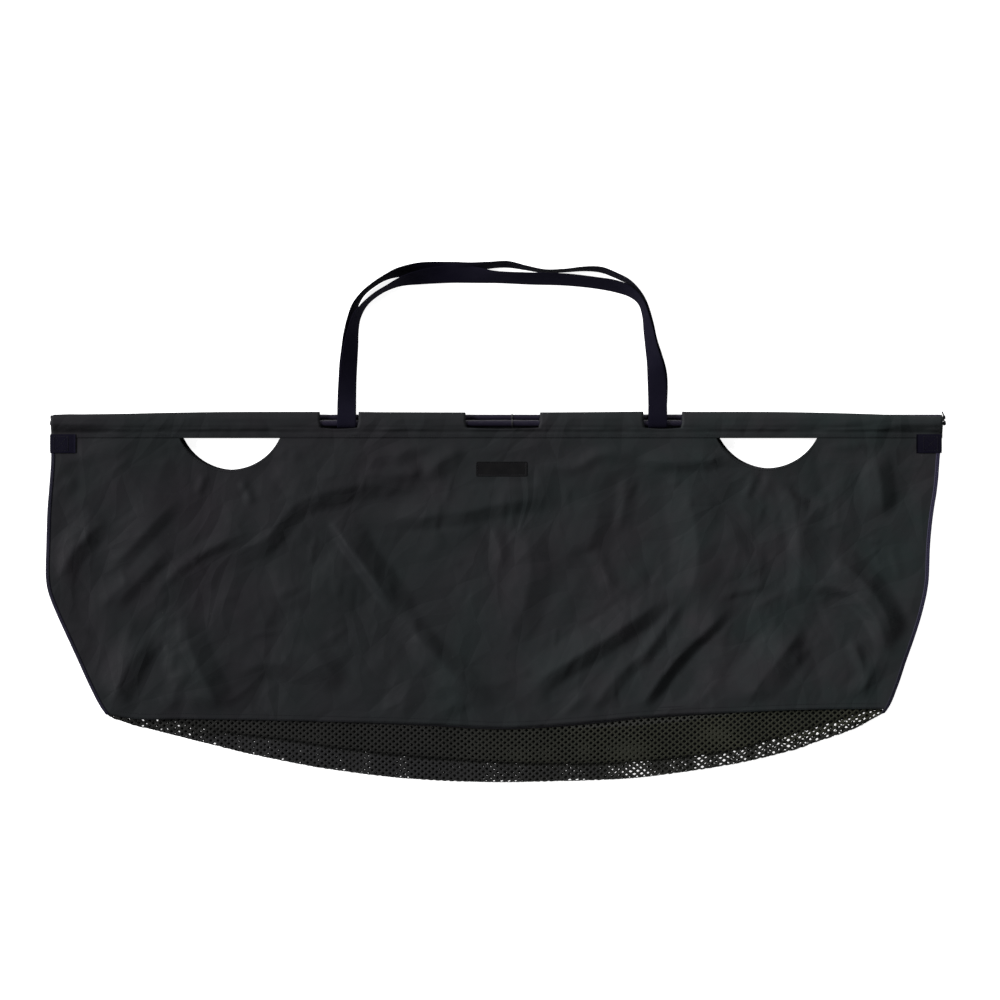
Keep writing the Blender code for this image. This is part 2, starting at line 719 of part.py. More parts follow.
clear_scene()
PARTS = new_collection("weigh_sling")
CUTTERS = new_collection("cutters")
LEFT_SIDE = side_points(LEFT_SIDE_SHARES, -1)
RIGHT_SIDE = side_points(RIGHT_SIDE_SHARES, 1)
FRONT_LEAF_Z = FRONT_PANEL_Z + CLOTH_WALL / 2
BACK_LEAF_Z = BACK_PANEL_Z + CLOTH_WALL / 2
FOLD_RADIUS = (FRONT_LEAF_Z - BACK_LEAF_Z) / 2

cloth = new_material("cloth", (0.018, 0.021, 0.021), 0.72)
net = new_material("net", (0.020, 0.021, 0.016), 0.75)
webbing = new_material("webbing", (0.010, 0.009, 0.016), 0.70)
tape = new_material("tape", (0.010, 0.008, 0.018), 0.65)
tube_finish = new_material("pole_tube", (0.020, 0.018, 0.024), 0.30)
ferrule_finish = new_material("ferrule", (0.55, 0.55, 0.56), 0.30, 1.0)
cap_finish = new_material("cap", (0.012, 0.012, 0.013), 0.50)
cord_finish = new_material("cord", (0.014, 0.013, 0.016), 0.75)
label_finish = new_material("label", (0.025, 0.026, 0.028), 0.55)

straight = [
    (side_at(LEFT_SIDE, HINGE_Y), HINGE_Y + CLEARANCE),
    (side_at(RIGHT_SIDE, HINGE_Y), HINGE_Y + CLEARANCE),
]
bowed = []
for step in range(2 * NET_ACROSS_STEPS + 1):
    x = LEFT_SIDE[-1][0] + (RIGHT_SIDE[-1][0] - LEFT_SIDE[-1][0]) * step / (2 * NET_ACROSS_STEPS)
    bowed.append((x, HINGE_Y - base_drop(x, NET_BACK_DROP, BACK_EDGE_BOW_SHARE, BACK_EDGE_BOW_SHARE)))
panel("front_panel", FRONT_POLE_Y, FRONT_POLE_Z, FRONT_PANEL_Z, straight, 0, cloth)
panel(
    "back_panel", BACK_POLE_Y, BACK_POLE_Z, BACK_PANEL_Z, bowed, BACK_HAND_HOLE_SHIFT, cloth
)
net_base(net)
front_seam_tape(tape)
back_seam_tape(tape)
for face_name, low_z, is_front in (
    ("front", FRONT_PANEL_Z, True),
    ("back", BACK_PANEL_Z, False),
):
    for side_name, path, side in (("left", LEFT_SIDE, -1), ("right", RIGHT_SIDE, 1)):
        binding(f"{face_name}_{side_name}_binding", path, side, low_z, tape)
        end_tab(f"{face_name}_{side_name}_tab", path, side, low_z, is_front, webbing)
label(label_finish)
for face_name, y, z in (
    ("front", FRONT_POLE_Y, FRONT_POLE_Z),
    ("back", BACK_POLE_Y, BACK_POLE_Z),
):
    pole(f"{face_name}_pole", y, z, (tube_finish, ferrule_finish, cap_finish, cord_finish))
    for side_name, foot_x in (("left", LEFT_FOOT_X), ("right", RIGHT_FOOT_X)):
        foot_loop(f"{face_name}_handle_{side_name}_loop", foot_x, y, z, webbing)
handle("front_handle", FRONT_HANDLE_SHARES, webbing)
handle("back_handle", BACK_HANDLE_SHARES, webbing)

for piece in PARTS.objects:
    if piece.type == "MESH" and any(part.type == "SCREW" for part in piece.modifiers):
        piece.data.shade_smooth()
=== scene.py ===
"""A weigh sling lying flat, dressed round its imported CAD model.

Two panels of coated cloth hang from two poles in sewn sleeves, a mesh base joins their
lower edges, and two webbing handles loop round the poles. Each section makes one piece,
or one group of like pieces, in the order in which a maker puts them together.
"""

import math

import bpy
import numpy as np
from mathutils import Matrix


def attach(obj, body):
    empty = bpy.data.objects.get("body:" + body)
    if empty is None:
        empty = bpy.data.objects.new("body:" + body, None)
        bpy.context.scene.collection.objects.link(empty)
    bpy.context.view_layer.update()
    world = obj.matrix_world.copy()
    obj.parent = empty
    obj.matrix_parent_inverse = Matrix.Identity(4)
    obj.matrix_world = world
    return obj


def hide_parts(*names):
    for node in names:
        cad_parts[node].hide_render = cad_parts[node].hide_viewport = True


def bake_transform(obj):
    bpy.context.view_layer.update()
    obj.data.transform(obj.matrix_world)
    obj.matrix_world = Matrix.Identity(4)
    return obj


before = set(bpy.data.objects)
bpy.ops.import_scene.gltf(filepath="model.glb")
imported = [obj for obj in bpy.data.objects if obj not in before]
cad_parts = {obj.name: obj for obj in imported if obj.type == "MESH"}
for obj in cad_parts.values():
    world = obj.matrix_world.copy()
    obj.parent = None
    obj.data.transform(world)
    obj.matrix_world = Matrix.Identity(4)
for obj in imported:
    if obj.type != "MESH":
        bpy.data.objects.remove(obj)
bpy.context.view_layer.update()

# Studio
# A plain pale floor, large soft lights round the table, and a camera that looks
# straight down from high up, as the photograph was taken.
PIXEL = 0.001353
MIDDLE_COLUMN, TOP_ROW = 501, 413
MIDDLE_X = 0.00767
TOP_Y = 0.14635
CAMERA_HEIGHT = 7.52
CAMERA_LENS = 200
FLOOR_SIZE = 30


def column_x(column):
    """X of a column of the photograph, in steps of one pixel's size from the middle's."""
    return MIDDLE_X + (column - MIDDLE_COLUMN) * PIXEL


def row_y(row):
    """Y of a row of the photograph, in steps of one pixel's size from the top edge's."""
    return TOP_Y - (row - TOP_ROW) * PIXEL


def at_pixel(across, down):
    """X and Y in metres of a pixel of the photograph."""
    return column_x(np.asarray(across, float)), row_y(np.asarray(down, float))


def add_node(tree, kind, inputs=None, **settings):
    """A shader node with its settings, and a value or a feeding output for each input."""
    made = tree.nodes.new("ShaderNode" + kind)
    for name, value in settings.items():
        setattr(made, name, value)
    for name, value in (inputs or {}).items():
        if isinstance(value, bpy.types.NodeSocket):
            tree.links.new(value, made.inputs[name])
        else:
            made.inputs[name].default_value = value
    return made


def new_finish(name, roughness, **constants):
    """A node material with its Principled shader; constants go straight on its sockets."""
    made = bpy.data.materials.new(name)
    made.use_nodes = True
    tree = made.node_tree
    shader = tree.nodes["Principled BSDF"]
    shader.inputs["Roughness"].default_value = roughness
    for socket, value in constants.items():
        shader.inputs[socket.replace("_", " ")].default_value = value
    place = add_node(tree, "TexCoord").outputs["Object"]
    return made, tree, shader, place


def feed(tree, source, shader, socket):
    """Links an output to one of the shader's inputs."""
    tree.links.new(source, shader.inputs[socket])


def mesh_piece(name, points, faces, finish, uv=None, smooth=True):
    """A mesh object from an array of points and arrays of corner numbers, one array for
    each count of corners; uv gives each point's place on the cloth in metres."""
    mesh = bpy.data.meshes.new(name)
    points = np.asarray(points, np.float32).reshape(-1, 3)
    faces = [np.asarray(part, np.int32) for part in faces]
    corners = np.concatenate([part.ravel() for part in faces])
    sizes = np.concatenate([np.full(len(part), part.shape[1], np.int32) for part in faces])
    mesh.vertices.add(len(points))
    mesh.vertices.foreach_set("co", points.ravel())
    mesh.loops.add(len(corners))
    mesh.loops.foreach_set("vertex_index", corners)
    mesh.polygons.add(len(sizes))
    starts = np.concatenate([[0], np.cumsum(sizes)[:-1]]).astype(np.int32)
    mesh.polygons.foreach_set("loop_start", starts)
    if uv is not None:
        layer = mesh.uv_layers.new(name="cloth")
        layer.data.foreach_set("uv", np.asarray(uv, np.float32).reshape(-1, 2)[corners].ravel())
    mesh.update(calc_edges=True)
    mesh.validate()
    if smooth:
        mesh.shade_smooth()
    mesh.materials.append(finish)
    made = bpy.data.objects.new(name, mesh)
    bpy.context.scene.collection.objects.link(made)
    return made


scene = bpy.context.scene
scene.view_settings.view_transform = "Standard"


def two_shades(tree, share, first, second):
    """A ramp from one colour to another, as the share goes from 0 to 1."""
    ramp = add_node(tree, "ValToRGB", {"Fac": share})
    ramp.color_ramp.elements[0].color = first
    ramp.color_ramp.elements[1].color = second
    return ramp.outputs["Color"]


# The floor gives a little light of its own, as a light table does.
floor_finish, tree, shader, place = new_finish("studio_floor", 0.85)
grain = add_node(tree, "TexNoise", {"Vector": place, "Scale": 3.0, "Detail": 4.0})
shade = two_shades(tree, grain.outputs["Fac"], (0.86, 0.86, 0.86, 1), (0.90, 0.90, 0.90, 1))
feed(tree, shade, shader, "Base Color")
feed(tree, shade, shader, "Emission Color")
shader.inputs["Emission Strength"].default_value = 1.0
edge = FLOOR_SIZE / 2
floor = mesh_piece(
    "studio_floor_sheet",
    [(-edge, -edge, 0), (edge, -edge, 0), (edge, edge, 0), (-edge, edge, 0)],
    [[(0, 1, 2, 3)]], floor_finish, smooth=False,
)

world = bpy.data.worlds.new("studio")
scene.world = world
world.use_nodes = True
sky = world.node_tree
behind = sky.nodes["Background"]
seen = add_node(sky, "LightPath").outputs["Is Camera Ray"]
strength = add_node(sky, "Mix", {0: seen, 2: 0.06, 3: 1.0})
sky.links.new(strength.outputs[0], behind.inputs["Strength"])
behind.inputs["Color"].default_value = (0.97, 0.98, 1.0, 1)


def soft_light(name, spot, aim, width, height, power):
    """A large flat lamp at a spot, turned to face the point that it is aimed at."""
    lamp = bpy.data.lights.new(name, "AREA")
    lamp.shape = "RECTANGLE"
    lamp.size, lamp.size_y, lamp.energy = width, height, power
    made = bpy.data.objects.new(name, lamp)
    scene.collection.objects.link(made)
    made.location = spot
    made.rotation_mode = "QUATERNION"
    gaze = made.location.copy()
    gaze.x, gaze.y, gaze.z = (a - s for a, s in zip(aim, spot))
    made.rotation_quaternion = gaze.to_track_quat("-Z", "Y")


soft_light("key_light", (-8.9, 2.1, 5.1), (0, 0, 0), 3.2, 2.4, 1600)
soft_light("fill_light", (1.2, 3.9, 3.8), (0.2, 0, 0), 2.2, 1.8, 95)
soft_light("front_light", (0.6, -3.4, 3.6), (0, 0, 0), 3.0, 1.6, 20)

camera = bpy.data.objects.new("studio_camera", bpy.data.cameras.new("studio_camera"))
scene.collection.objects.link(camera)
camera.data.lens = CAMERA_LENS
camera.data.sensor_width = 36
camera.data.clip_end = 50
camera.location = (*(float(v) for v in at_pixel(500, 500)), CAMERA_HEIGHT)
scene.camera = camera

# Front cloth
# The panel that faces the camera: thin coated nylon, sewn into the sleeve above and to
# the net below. It has lain folded in a bag, so it is creased in long, crisp folds.
CLOTH_WALL = 0.00045
SLEEVE_DEPTH = 0.034
SEAM_Y = TOP_Y - SLEEVE_DEPTH
HOLE_TOP = TOP_Y - 0.0345
HOLE_HALF = 0.0675
LEFT_HOLE_X, LEFT_HOLE_DEPTH = MIDDLE_X - 0.3665, 0.042
RIGHT_HOLE_X, RIGHT_HOLE_DEPTH = MIDDLE_X + 0.3590, 0.040
FRONT_Z = 0.0093
FRONT_DIP = 0.0005
HEM_LIFT = 0.0062
LOWEST_Z, LOWEST_GIVE = 0.0062, 0.0012
TUCK = 0.009
LEFT_COLUMN, RIGHT_COLUMN = 51, 941
SIDE_ROWS = (405, 440, 456, 482, 494, 506, 530, 550, 566, 578, 590, 602, 614, 638, 662,
             686, 710, 718)
LEFT_SIDE = (51.5, 51, 51.5, 50, 49, 48, 47, 46.5, 46, 46.2, 48, 52, 57, 68, 79, 90,
             103, 109)
RIGHT_SIDE = (942, 941, 939.5, 937.5, 936, 934, 931, 929.5, 929, 928.5, 927, 924.5, 921.5,
              914, 905.5, 897.5, 886.5, 880)
FRONT_SEAM = ((100, 711), (112, 715), (124, 717.5), (187, 719), (250, 720), (343, 722),
              (437, 724.5), (500, 727.5), (578, 723), (641, 717), (744, 712), (813, 709.5),
              (860, 709), (892, 709))
FRONT_SIDE_INSET = 0.0012
COLUMN_STEPS = (56, 44, 184, 44, 54)
ROW_STEPS = 114
FOLD_FOOT = 0.045
FOLD_FADE = 0.3


def curve_at(at, places, values):
    """A smooth line through pairs of place and value: between two of them it is the cubic
    whose slope at each end is the slope between the neighbours there."""
    places, values = np.asarray(places, float), np.asarray(values, float)
    slopes = np.gradient(values, places)
    at = np.clip(at, places[0], places[-1])
    index = np.clip(np.searchsorted(places, at) - 1, 0, len(places) - 2)
    width = places[index + 1] - places[index]
    t = (at - places[index]) / width
    return (
        (2 * t**3 - 3 * t**2 + 1) * values[index]
        + (t**3 - 2 * t**2 + t) * width * slopes[index]
        + (3 * t**2 - 2 * t**3) * values[index + 1]
        + (t**3 - t**2) * width * slopes[index + 1]
    )


def pixel_row(y):
    """The photograph's row at each Y."""
    return TOP_ROW + (TOP_Y - y) / PIXEL


def pixel_column(x):
    """The photograph's column at each X."""
    return MIDDLE_COLUMN + (x - MIDDLE_X) / PIXEL


def left_side(y):
    """X of the panels' left side at each Y."""
    return column_x(curve_at(pixel_row(y), SIDE_ROWS, LEFT_SIDE))


def right_side(y):
    """X of the panels' right side at each Y."""
    return column_x(curve_at(pixel_row(y), SIDE_ROWS, RIGHT_SIDE))


def line_y(x, line):
    """The height in the picture, as Y, of a line of pixels at each X."""
    columns, rows = np.array(line, float).T
    return row_y(curve_at(pixel_column(x), columns, rows))


def run_along(line):
    """How far each point of a line is from its start, measured along it."""
    return np.concatenate([[0], np.cumsum(np.linalg.norm(np.diff(line, axis=0), axis=1))])


def rise(value, low, high):
    """0 below low and 1 above high, turning smoothly between them."""
    t = np.clip((value - low) / (high - low), 0, 1)
    return t * t * (3 - 2 * t)


def points_at(*axes):
    """Points from their X, their Y and so on, each an array or one number for all."""
    return np.stack(np.broadcast_arrays(*axes), -1)


def thick_line(path, steps):
    """Points spread evenly along each stretch of a smooth line through a pixel path."""
    path = np.array(path, float)
    at = np.linspace(0, len(path) - 1, steps * (len(path) - 1) + 1)
    return points_at(*at_pixel(*(curve_at(at, np.arange(len(path)), axis) for axis in path.T)))


def fold_height(x, y, points, height, left_reach, right_reach, crest):
    """Height of one fold along a line of points. Its two flanks are planes: each falls
    evenly from the crest to nothing within its reach, the crest and the foot are
    rounded, and the whole fades out towards the line's two ends."""
    nearest = np.full(x.shape, np.inf)
    side = np.zeros(x.shape)
    along = np.zeros(x.shape)
    starts = run_along(points)
    lengths = np.linalg.norm(np.diff(points, axis=0), axis=1)
    for start, run, (x0, y0), (x1, y1) in zip(starts, lengths, points, points[1:]):
        dx, dy = (x1 - x0) / run, (y1 - y0) / run
        t = np.clip((x - x0) * dx + (y - y0) * dy, 0, run)
        away = np.hypot(x - x0 - t * dx, y - y0 - t * dy)
        closer = away < nearest
        nearest = np.where(closer, away, nearest)
        side = np.where(closer, dx * (y - y0) - dy * (x - x0), side)
        along = np.where(closer, (start + t) / starts[-1], along)
    reach = np.where(side > 0, left_reach, right_reach)
    away = np.sqrt(nearest**2 + crest**2) - crest
    flank = FOLD_FOOT * np.logaddexp(0, (1 - away / reach) / FOLD_FOOT)
    fade = rise(along, 0, FOLD_FADE) * rise(1 - along, 0, FOLD_FADE)
    return height * flank * fade


# Each fold: its crest as a path of pixels, its height, how far its left and right
# flanks reach as seen going along the path, and the roundness of its crest, in mm.
# A fold with a height below nothing is a valley.
FRONT_FOLDS = (
    (((205, 562), (240, 551), (268, 536), (284, 516), (300, 502), (330, 491), (365, 484),
      (412, 478), (446, 474)), 8.5, 62, 21, 2),
    (((150, 596), (176, 572), (206, 550), (248, 534)), 4.0, 13, 11, 1.5),
    (((108, 612), (128, 590), (150, 568), (172, 544)), 5.0, 30, 13, 2),
    (((100, 608), (118, 590), (136, 574)), 1.8, 14, 8, 1.2),
    (((104, 576), (134, 545), (160, 516), (186, 496)), 6.0, 44, 15, 2),
    (((56, 588), (68, 560), (87, 536), (110, 518)), 8.0, 28, 20, 2),
    (((108, 712), (120, 684), (135, 656), (152, 634)), 8.5, 32, 23, 2),
    (((186, 604), (187, 634), (199, 668), (212, 694), (222, 722)), 8.0, 26, 44, 2),
    (((170, 716), (179, 682), (198, 667)), 2.0, 18, 13, 2),
    (((232, 676), (268, 663), (308, 670), (342, 690)), 6.0, 30, 21, 2.5),
    (((154, 628), (172, 618), (192, 609)), 1.6, 14, 9, 1.6),
    (((328, 516), (343, 538), (366, 570), (398, 614)), 11.5, 34, 10, 1),
    (((344, 506), (384, 556), (424, 602), (462, 650), (524, 692)), -5.0, 60, 26, 2),
    (((398, 612), (430, 650), (462, 682), (500, 706)), 7.5, 26, 22, 2),
    (((368, 514), (414, 517), (464, 512), (500, 504), (542, 499), (572, 502)), 7.5, 45, 17, 2),
    (((356, 471), (388, 475), (430, 472)), 2.6, 11, 8, 1.4),
    (((426, 480), (442, 459), (466, 449)), 4.2, 22, 20, 2.2),
    (((386, 465), (410, 449), (444, 440)), 3.6, 18, 14, 2.2),
    (((520, 698), (550, 673), (593, 646), (640, 615), (672, 594)), 10.0, 29, 20, 1.6),
    (((582, 722), (604, 692), (630, 664), (668, 632)), 4.4, 18, 14, 1.8),
    (((632, 720), (674, 661), (710, 626), (738, 598)), 9.0, 38, 12, 1.6),
    (((632, 674), (657, 637), (684, 598)), 4.0, 11, 13, 1.4),
    (((716, 597), (742, 591), (770, 584)), 2.6, 16, 7, 1.4),
    (((688, 466), (690, 500), (697, 540), (695, 578), (676, 614)), 8.5, 60, 36, 1.4),
    (((634, 457), (664, 462), (700, 461), (742, 459)), 5.0, 16, 13, 2),
    (((627, 472), (624, 500), (619, 538)), 3.0, 18, 11, 1.8),
    (((600, 498), (594, 530), (582, 560)), 4.2, 34, 36, 1.4),
    (((512, 520), (530, 556), (526, 600), (510, 646)), 4.4, 28, 30, 3),
    (((492, 524), (500, 546), (502, 570)), 2.6, 12, 12, 1.8),
    (((592, 548), (604, 570), (612, 596)), 3.0, 14, 14, 2),
    (((744, 500), (750, 486), (756, 472)), 2.6, 8, 8, 1.4),
    (((782, 482), (802, 496), (824, 512)), -4.0, 14, 10, 1.4),
    (((784, 468), (796, 516), (800, 566), (794, 618)), 5.5, 44, 18, 1.6),
    (((798, 590), (830, 585), (858, 598), (878, 624), (888, 660)), 9.0, 30, 14, 1.4),
    (((738, 716), (762, 680), (786, 649), (808, 622)), 10.0, 40, 30, 1.4),
    (((872, 452), (880, 482), (882, 520)), 6.5, 20, 26, 1.6),
    (((812, 554), (838, 562), (866, 586), (888, 620), (898, 650)), 10.0, 24, 30, 1.6),
    (((848, 638), (858, 656), (864, 676)), 2.8, 9, 10, 1.4),
    (((814, 449), (850, 443), (896, 436)), 2.6, 7, 9, 1.4),
    (((528, 460), (572, 468), (602, 454), (640, 461)), 3.4, 11, 12, 1.6),
    (((54, 500), (62, 488), (76, 476)), 4.0, 9, 15, 1.8),
    (((238, 480), (247, 491), (252, 506)), 2.8, 9, 8, 1.3),
    (((204, 472), (202, 484), (196, 496)), 2.2, 8, 8, 1.3),
    (((262, 600), (300, 588), (344, 592)), 3.4, 30, 26, 4),
    (((300, 640), (322, 660), (344, 690)), 3.4, 18, 24, 2.5),
    (((420, 540), (452, 532), (490, 540)), 3.0, 22, 22, 3),
    (((720, 520), (742, 548), (752, 584)), 3.4, 22, 30, 3),
    (((850, 700), (868, 680), (880, 652)), 3.6, 18, 16, 2),
    (((690, 716), (708, 690), (730, 672)), 3.2, 20, 18, 2.5),
    (((560, 722), (574, 704), (592, 690)), 3.0, 13, 11, 1.8),
    (((440, 722), (452, 706), (470, 700)), 2.4, 12, 12, 1.8),
    (((60, 640), (74, 630), (92, 632)), 2.4, 9, 10, 1.6),
)
MM = 0.001
CREST_SHARE = 0.0004
# Small folds: how many, their seed, their height and their reach. They lie at random on
# the panel's columns and rows of pixels, and lean by degrees that differ left and right.
SMALL_FOLDS = (150, 11, 0.0011, 0.008)
SMALL_COLUMNS, SMALL_ROWS = (50, 940), (448, 716)
SMALL_LENGTHS = (12, 46)
SMALL_CREST = 0.0012
SMALL_NEAR = 0.075
LEFT_LEAN, RIGHT_LEAN, LEAN_SPREAD, LEAN_COLUMN = 42, 62, 48, 420
RIDGE_SHARE = 0.7
# The slow rise and fall of cloth that lies loose: each wave's height, its radians a metre
# along X and along Y, and its start.
GROUND_WAVES = ((0.0009, 23, 9, 0.6), (0.0007, -14, 31, 2.1), (0.0006, 37, -25, 4.0))
# Lattices of facets on the left, on the right and all over: how they lean, their sizes
# across and along it, their height and their seed.
LEFT_FACETS = (0.75, 0.046, 0.072, 0.0022, 3)
RIGHT_FACETS = (1.15, 0.046, 0.068, 0.0021, 8)
FINE_FACETS = (0.5, 0.020, 0.030, 0.0008, 21)
LATTICE = 64


def small_folds(x, y, count, seed, height, reach):
    """Many short creases at random places: each is a plane-sided ridge along one straight
    line, turned mostly the way the big folds run on that half of the panel."""
    draw = np.random.default_rng(seed)
    x, y = np.broadcast_arrays(x, y)
    total = np.zeros(x.shape)
    for _ in range(count):
        across = draw.uniform(*SMALL_COLUMNS)
        down = draw.uniform(*SMALL_ROWS)
        usual = LEFT_LEAN if across < LEAN_COLUMN else RIGHT_LEAN
        lean = math.radians(draw.normal(usual, LEAN_SPREAD))
        length = draw.uniform(*SMALL_LENGTHS)
        tall = height * draw.uniform(0.35, 1.0) * (1 if draw.random() < RIDGE_SHARE else -1)
        wide = reach * draw.uniform(0.5, 1.3)
        step = (math.cos(lean) * length / 2, -math.sin(lean) * length / 2)
        ends = points_at(
            *at_pixel([across - step[0], across + step[0]], [down - step[1], down + step[1]])
        )
        middle_x, middle_y = ends.mean(axis=0)
        near = (np.abs(x - middle_x) < SMALL_NEAR) & (np.abs(y - middle_y) < SMALL_NEAR)
        total[near] += fold_height(x[near], y[near], ends, tall, wide, wide * 0.7, SMALL_CREST)
    return total


def waves(x, y, table):
    """A sum of waves: height times the sine of turn_x times x plus turn_y times y plus start."""
    return sum(height * np.sin(turn_x * x + turn_y * y + start)
               for height, turn_x, turn_y, start in table)


def facets(x, y, lean, across, along, height, seed):
    """A surface of flat triangular facets that meet in creases: random heights on a
    lattice of triangles, stretched along the lean and gently bent, and planes between."""
    x, y = np.broadcast_arrays(x, y)
    c, s = math.cos(lean), math.sin(lean)
    u = (c * x + s * y) / along + waves(x, y, ((0.30, 11, 5, seed), (0.10, -9, 23, 0)))
    v = (c * y - s * x) / across + waves(x, y, ((0.30, -12, 9, 2 * seed), (0.10, 25, 0, 0)))
    table = np.random.default_rng(seed).uniform(-height, height, (LATTICE, LATTICE))
    i, j = np.floor(u).astype(int), np.floor(v).astype(int)
    fu, fv = u - i, v - j
    near, far = (i % LATTICE, j % LATTICE), ((i + 1) % LATTICE, (j + 1) % LATTICE)
    h00, h10 = table[near], table[far[0], near[1]]
    h01, h11 = table[near[0], far[1]], table[far]
    lower = h00 + (h10 - h00) * fu + (h11 - h10) * fv
    upper = h00 + (h01 - h00) * fv + (h11 - h01) * fu
    return np.where(fu >= fv, lower, upper)


def soft_box(x, y, middle_x, middle_y, half_x, half_y, fade):
    """1 inside an upright rectangle, falling to 0 within the fade outside it."""
    across = np.maximum(np.abs(x - middle_x) - half_x, 0)
    up = np.maximum(np.abs(y - middle_y) - half_y, 0)
    return 1 - rise(np.hypot(across, up), 0, fade)


LABEL_MIDDLE = (MIDDLE_X + 0.0007, TOP_Y - 0.0758)
TAB_MIDDLE_Y = TOP_Y - 0.0415
# Boxes that are kept flat, as half width, half height and fade, and how much of each fold
# they take away; the shares of a fold left at the bound sides and at the net, and the
# spans over which it comes to its full height.
LABEL_FLAT, LABEL_HOLD = (0.040, 0.014, 0.014), 0.85
HOLE_FLAT, HOLE_HOLD = (0.055, 0.018, 0.02), 0.55
SIDE_SHARE, NET_SHARE = 0.2, 0.12
SIDE_SPAN, SLEEVE_SPAN, NET_SPAN = (0.004, 0.040), (0.0005, 0.020), (0.002, 0.03)
HEM_SPAN = (-0.002, 0.105)
TAB_PLACES = (-0.595, 0.602)
TAB_FLAT = (0.026, 0.013, 0.012)


def near_tabs(x, y):
    """1 where the closing tabs hold a panel flat, and 0 away from them."""
    left, right = (soft_box(x, y, middle_x, TAB_MIDDLE_Y, *TAB_FLAT) for middle_x in TAB_PLACES)
    return np.maximum(left, right)


def hem_lift(x):
    """How far the sleeve's pole holds the front cloth up along the hem: nothing at the
    bound sides, and its full height between them."""
    left = rise(x - column_x(LEFT_COLUMN), 0.035, 0.10)
    return HEM_LIFT * left * rise(column_x(RIGHT_COLUMN) - x, 0.035, 0.10)


def front_height(x, y, small=True):
    """Z of the front cloth's middle: its level at the seams, plus its folds, which are
    held down near the sleeve, the net, the bound sides, the tabs and the label."""
    x, y = np.broadcast_arrays(np.asarray(x, float), np.asarray(y, float))
    folds = waves(x, y, GROUND_WAVES)
    for path, height, left_reach, right_reach, crest in FRONT_FOLDS:
        points = thick_line(path, 5)
        folds = folds + fold_height(
            x, y, points, height * MM, left_reach * MM, right_reach * MM, crest * CREST_SHARE
        )
    if small:
        folds = folds + small_folds(x, y, *SMALL_FOLDS)
        right = rise(pixel_column(x), 400, 560)
        folds = folds + (1 - right) * facets(x, y, *LEFT_FACETS)
        folds = folds + right * facets(x, y, *RIGHT_FACETS)
        folds = folds + facets(x, y, *FINE_FACETS)
    side = np.minimum(x - left_side(y), right_side(y) - x)
    above_net = y - line_y(x, FRONT_SEAM)
    free = (SIDE_SHARE + (1 - SIDE_SHARE) * rise(side, *SIDE_SPAN)) * rise(SEAM_Y - y, *SLEEVE_SPAN)
    free = free * (NET_SHARE + (1 - NET_SHARE) * rise(above_net, *NET_SPAN))
    free = free * (1 - LABEL_HOLD * soft_box(x, y, *LABEL_MIDDLE, *LABEL_FLAT))
    for middle_x in (LEFT_HOLE_X, RIGHT_HOLE_X):
        free = free * (1 - HOLE_HOLD * soft_box(x, y, middle_x, HOLE_TOP - 0.02, *HOLE_FLAT))
    level = FRONT_Z + hem_lift(x) * (1 - rise(SEAM_Y - y, *HEM_SPAN)) - FRONT_DIP * (
        rise(SEAM_Y - y, 0.005, 0.05) * rise(side, 0, 0.04) * rise(above_net, 0.004, 0.05)
    )
    height = level + folds * free * (1 - near_tabs(x, y))
    soft = LOWEST_Z - LOWEST_GIVE * (1 - np.exp((height - LOWEST_Z) / LOWEST_GIVE))
    return np.where(height < LOWEST_Z, soft, height)


def hole_edge(x, middle_x):
    """Y of a hand hole's lower edge: an arc of a circle through the hole's two corners."""
    depth = LEFT_HOLE_DEPTH if middle_x < MIDDLE_X else RIGHT_HOLE_DEPTH
    radius = (HOLE_HALF**2 + depth**2) / (2 * depth)
    drop = np.sqrt(np.maximum(radius**2 - (x - middle_x) ** 2, 0)) - (radius - depth)
    return HOLE_TOP - np.maximum(drop, 0)


def panel_grid(hole_shift, column_steps, row_steps, seam, inset):
    """X and Y of a panel's cloth as a grid. Columns run down from the sleeve, or from the
    arc of a hand hole, to the net's seam, and lean with the sides beyond the holes;
    rows share out each column's length evenly."""
    left_hole, right_hole = LEFT_HOLE_X + hole_shift, RIGHT_HOLE_X + hole_shift
    keys = [column_x(LEFT_COLUMN), left_hole - HOLE_HALF, left_hole + HOLE_HALF,
            right_hole - HOLE_HALF, right_hole + HOLE_HALF, column_x(RIGHT_COLUMN)]
    column = np.concatenate(
        [np.linspace(a, b, n, endpoint=False) for a, b, n in zip(keys, keys[1:], column_steps)]
        + [[keys[-1]]]
    )
    start = np.full(column.shape, SEAM_Y + TUCK)
    for middle_x in (left_hole, right_hole):
        inside = np.abs(column - middle_x) < HOLE_HALF + 1e-6
        start[inside] = hole_edge(column[inside], middle_x)
    share = np.linspace(0, 1, row_steps + 1)[:, None]
    x = np.repeat(column[None], row_steps + 1, axis=0)
    left_pull = np.clip((keys[1] - column) / (keys[1] - keys[0]), 0, 1)
    right_pull = np.clip((column - keys[4]) / (keys[5] - keys[4]), 0, 1)
    for _ in range(3):
        y = start + (line_y(x, seam) - start) * share
        x = (
            column
            + (left_side(y) + inset - keys[0]) * left_pull
            + (right_side(y) - inset - keys[5]) * right_pull
        )
    return x, y


def belongs(piece, body, slot, *nodes):
    """The piece moves with a body and stands for the CAD nodes, which it hides; the slot is not
    used.
    """
    if body:
        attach(piece, body)
    if nodes:
        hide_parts(*nodes)


def add_wall(piece, thickness):
    """Gives a surface its thickness, half to each side."""
    wall = piece.modifiers.new("wall", "SOLIDIFY")
    wall.thickness = thickness
    wall.offset = 0
    wall.use_even_offset = False
    return piece


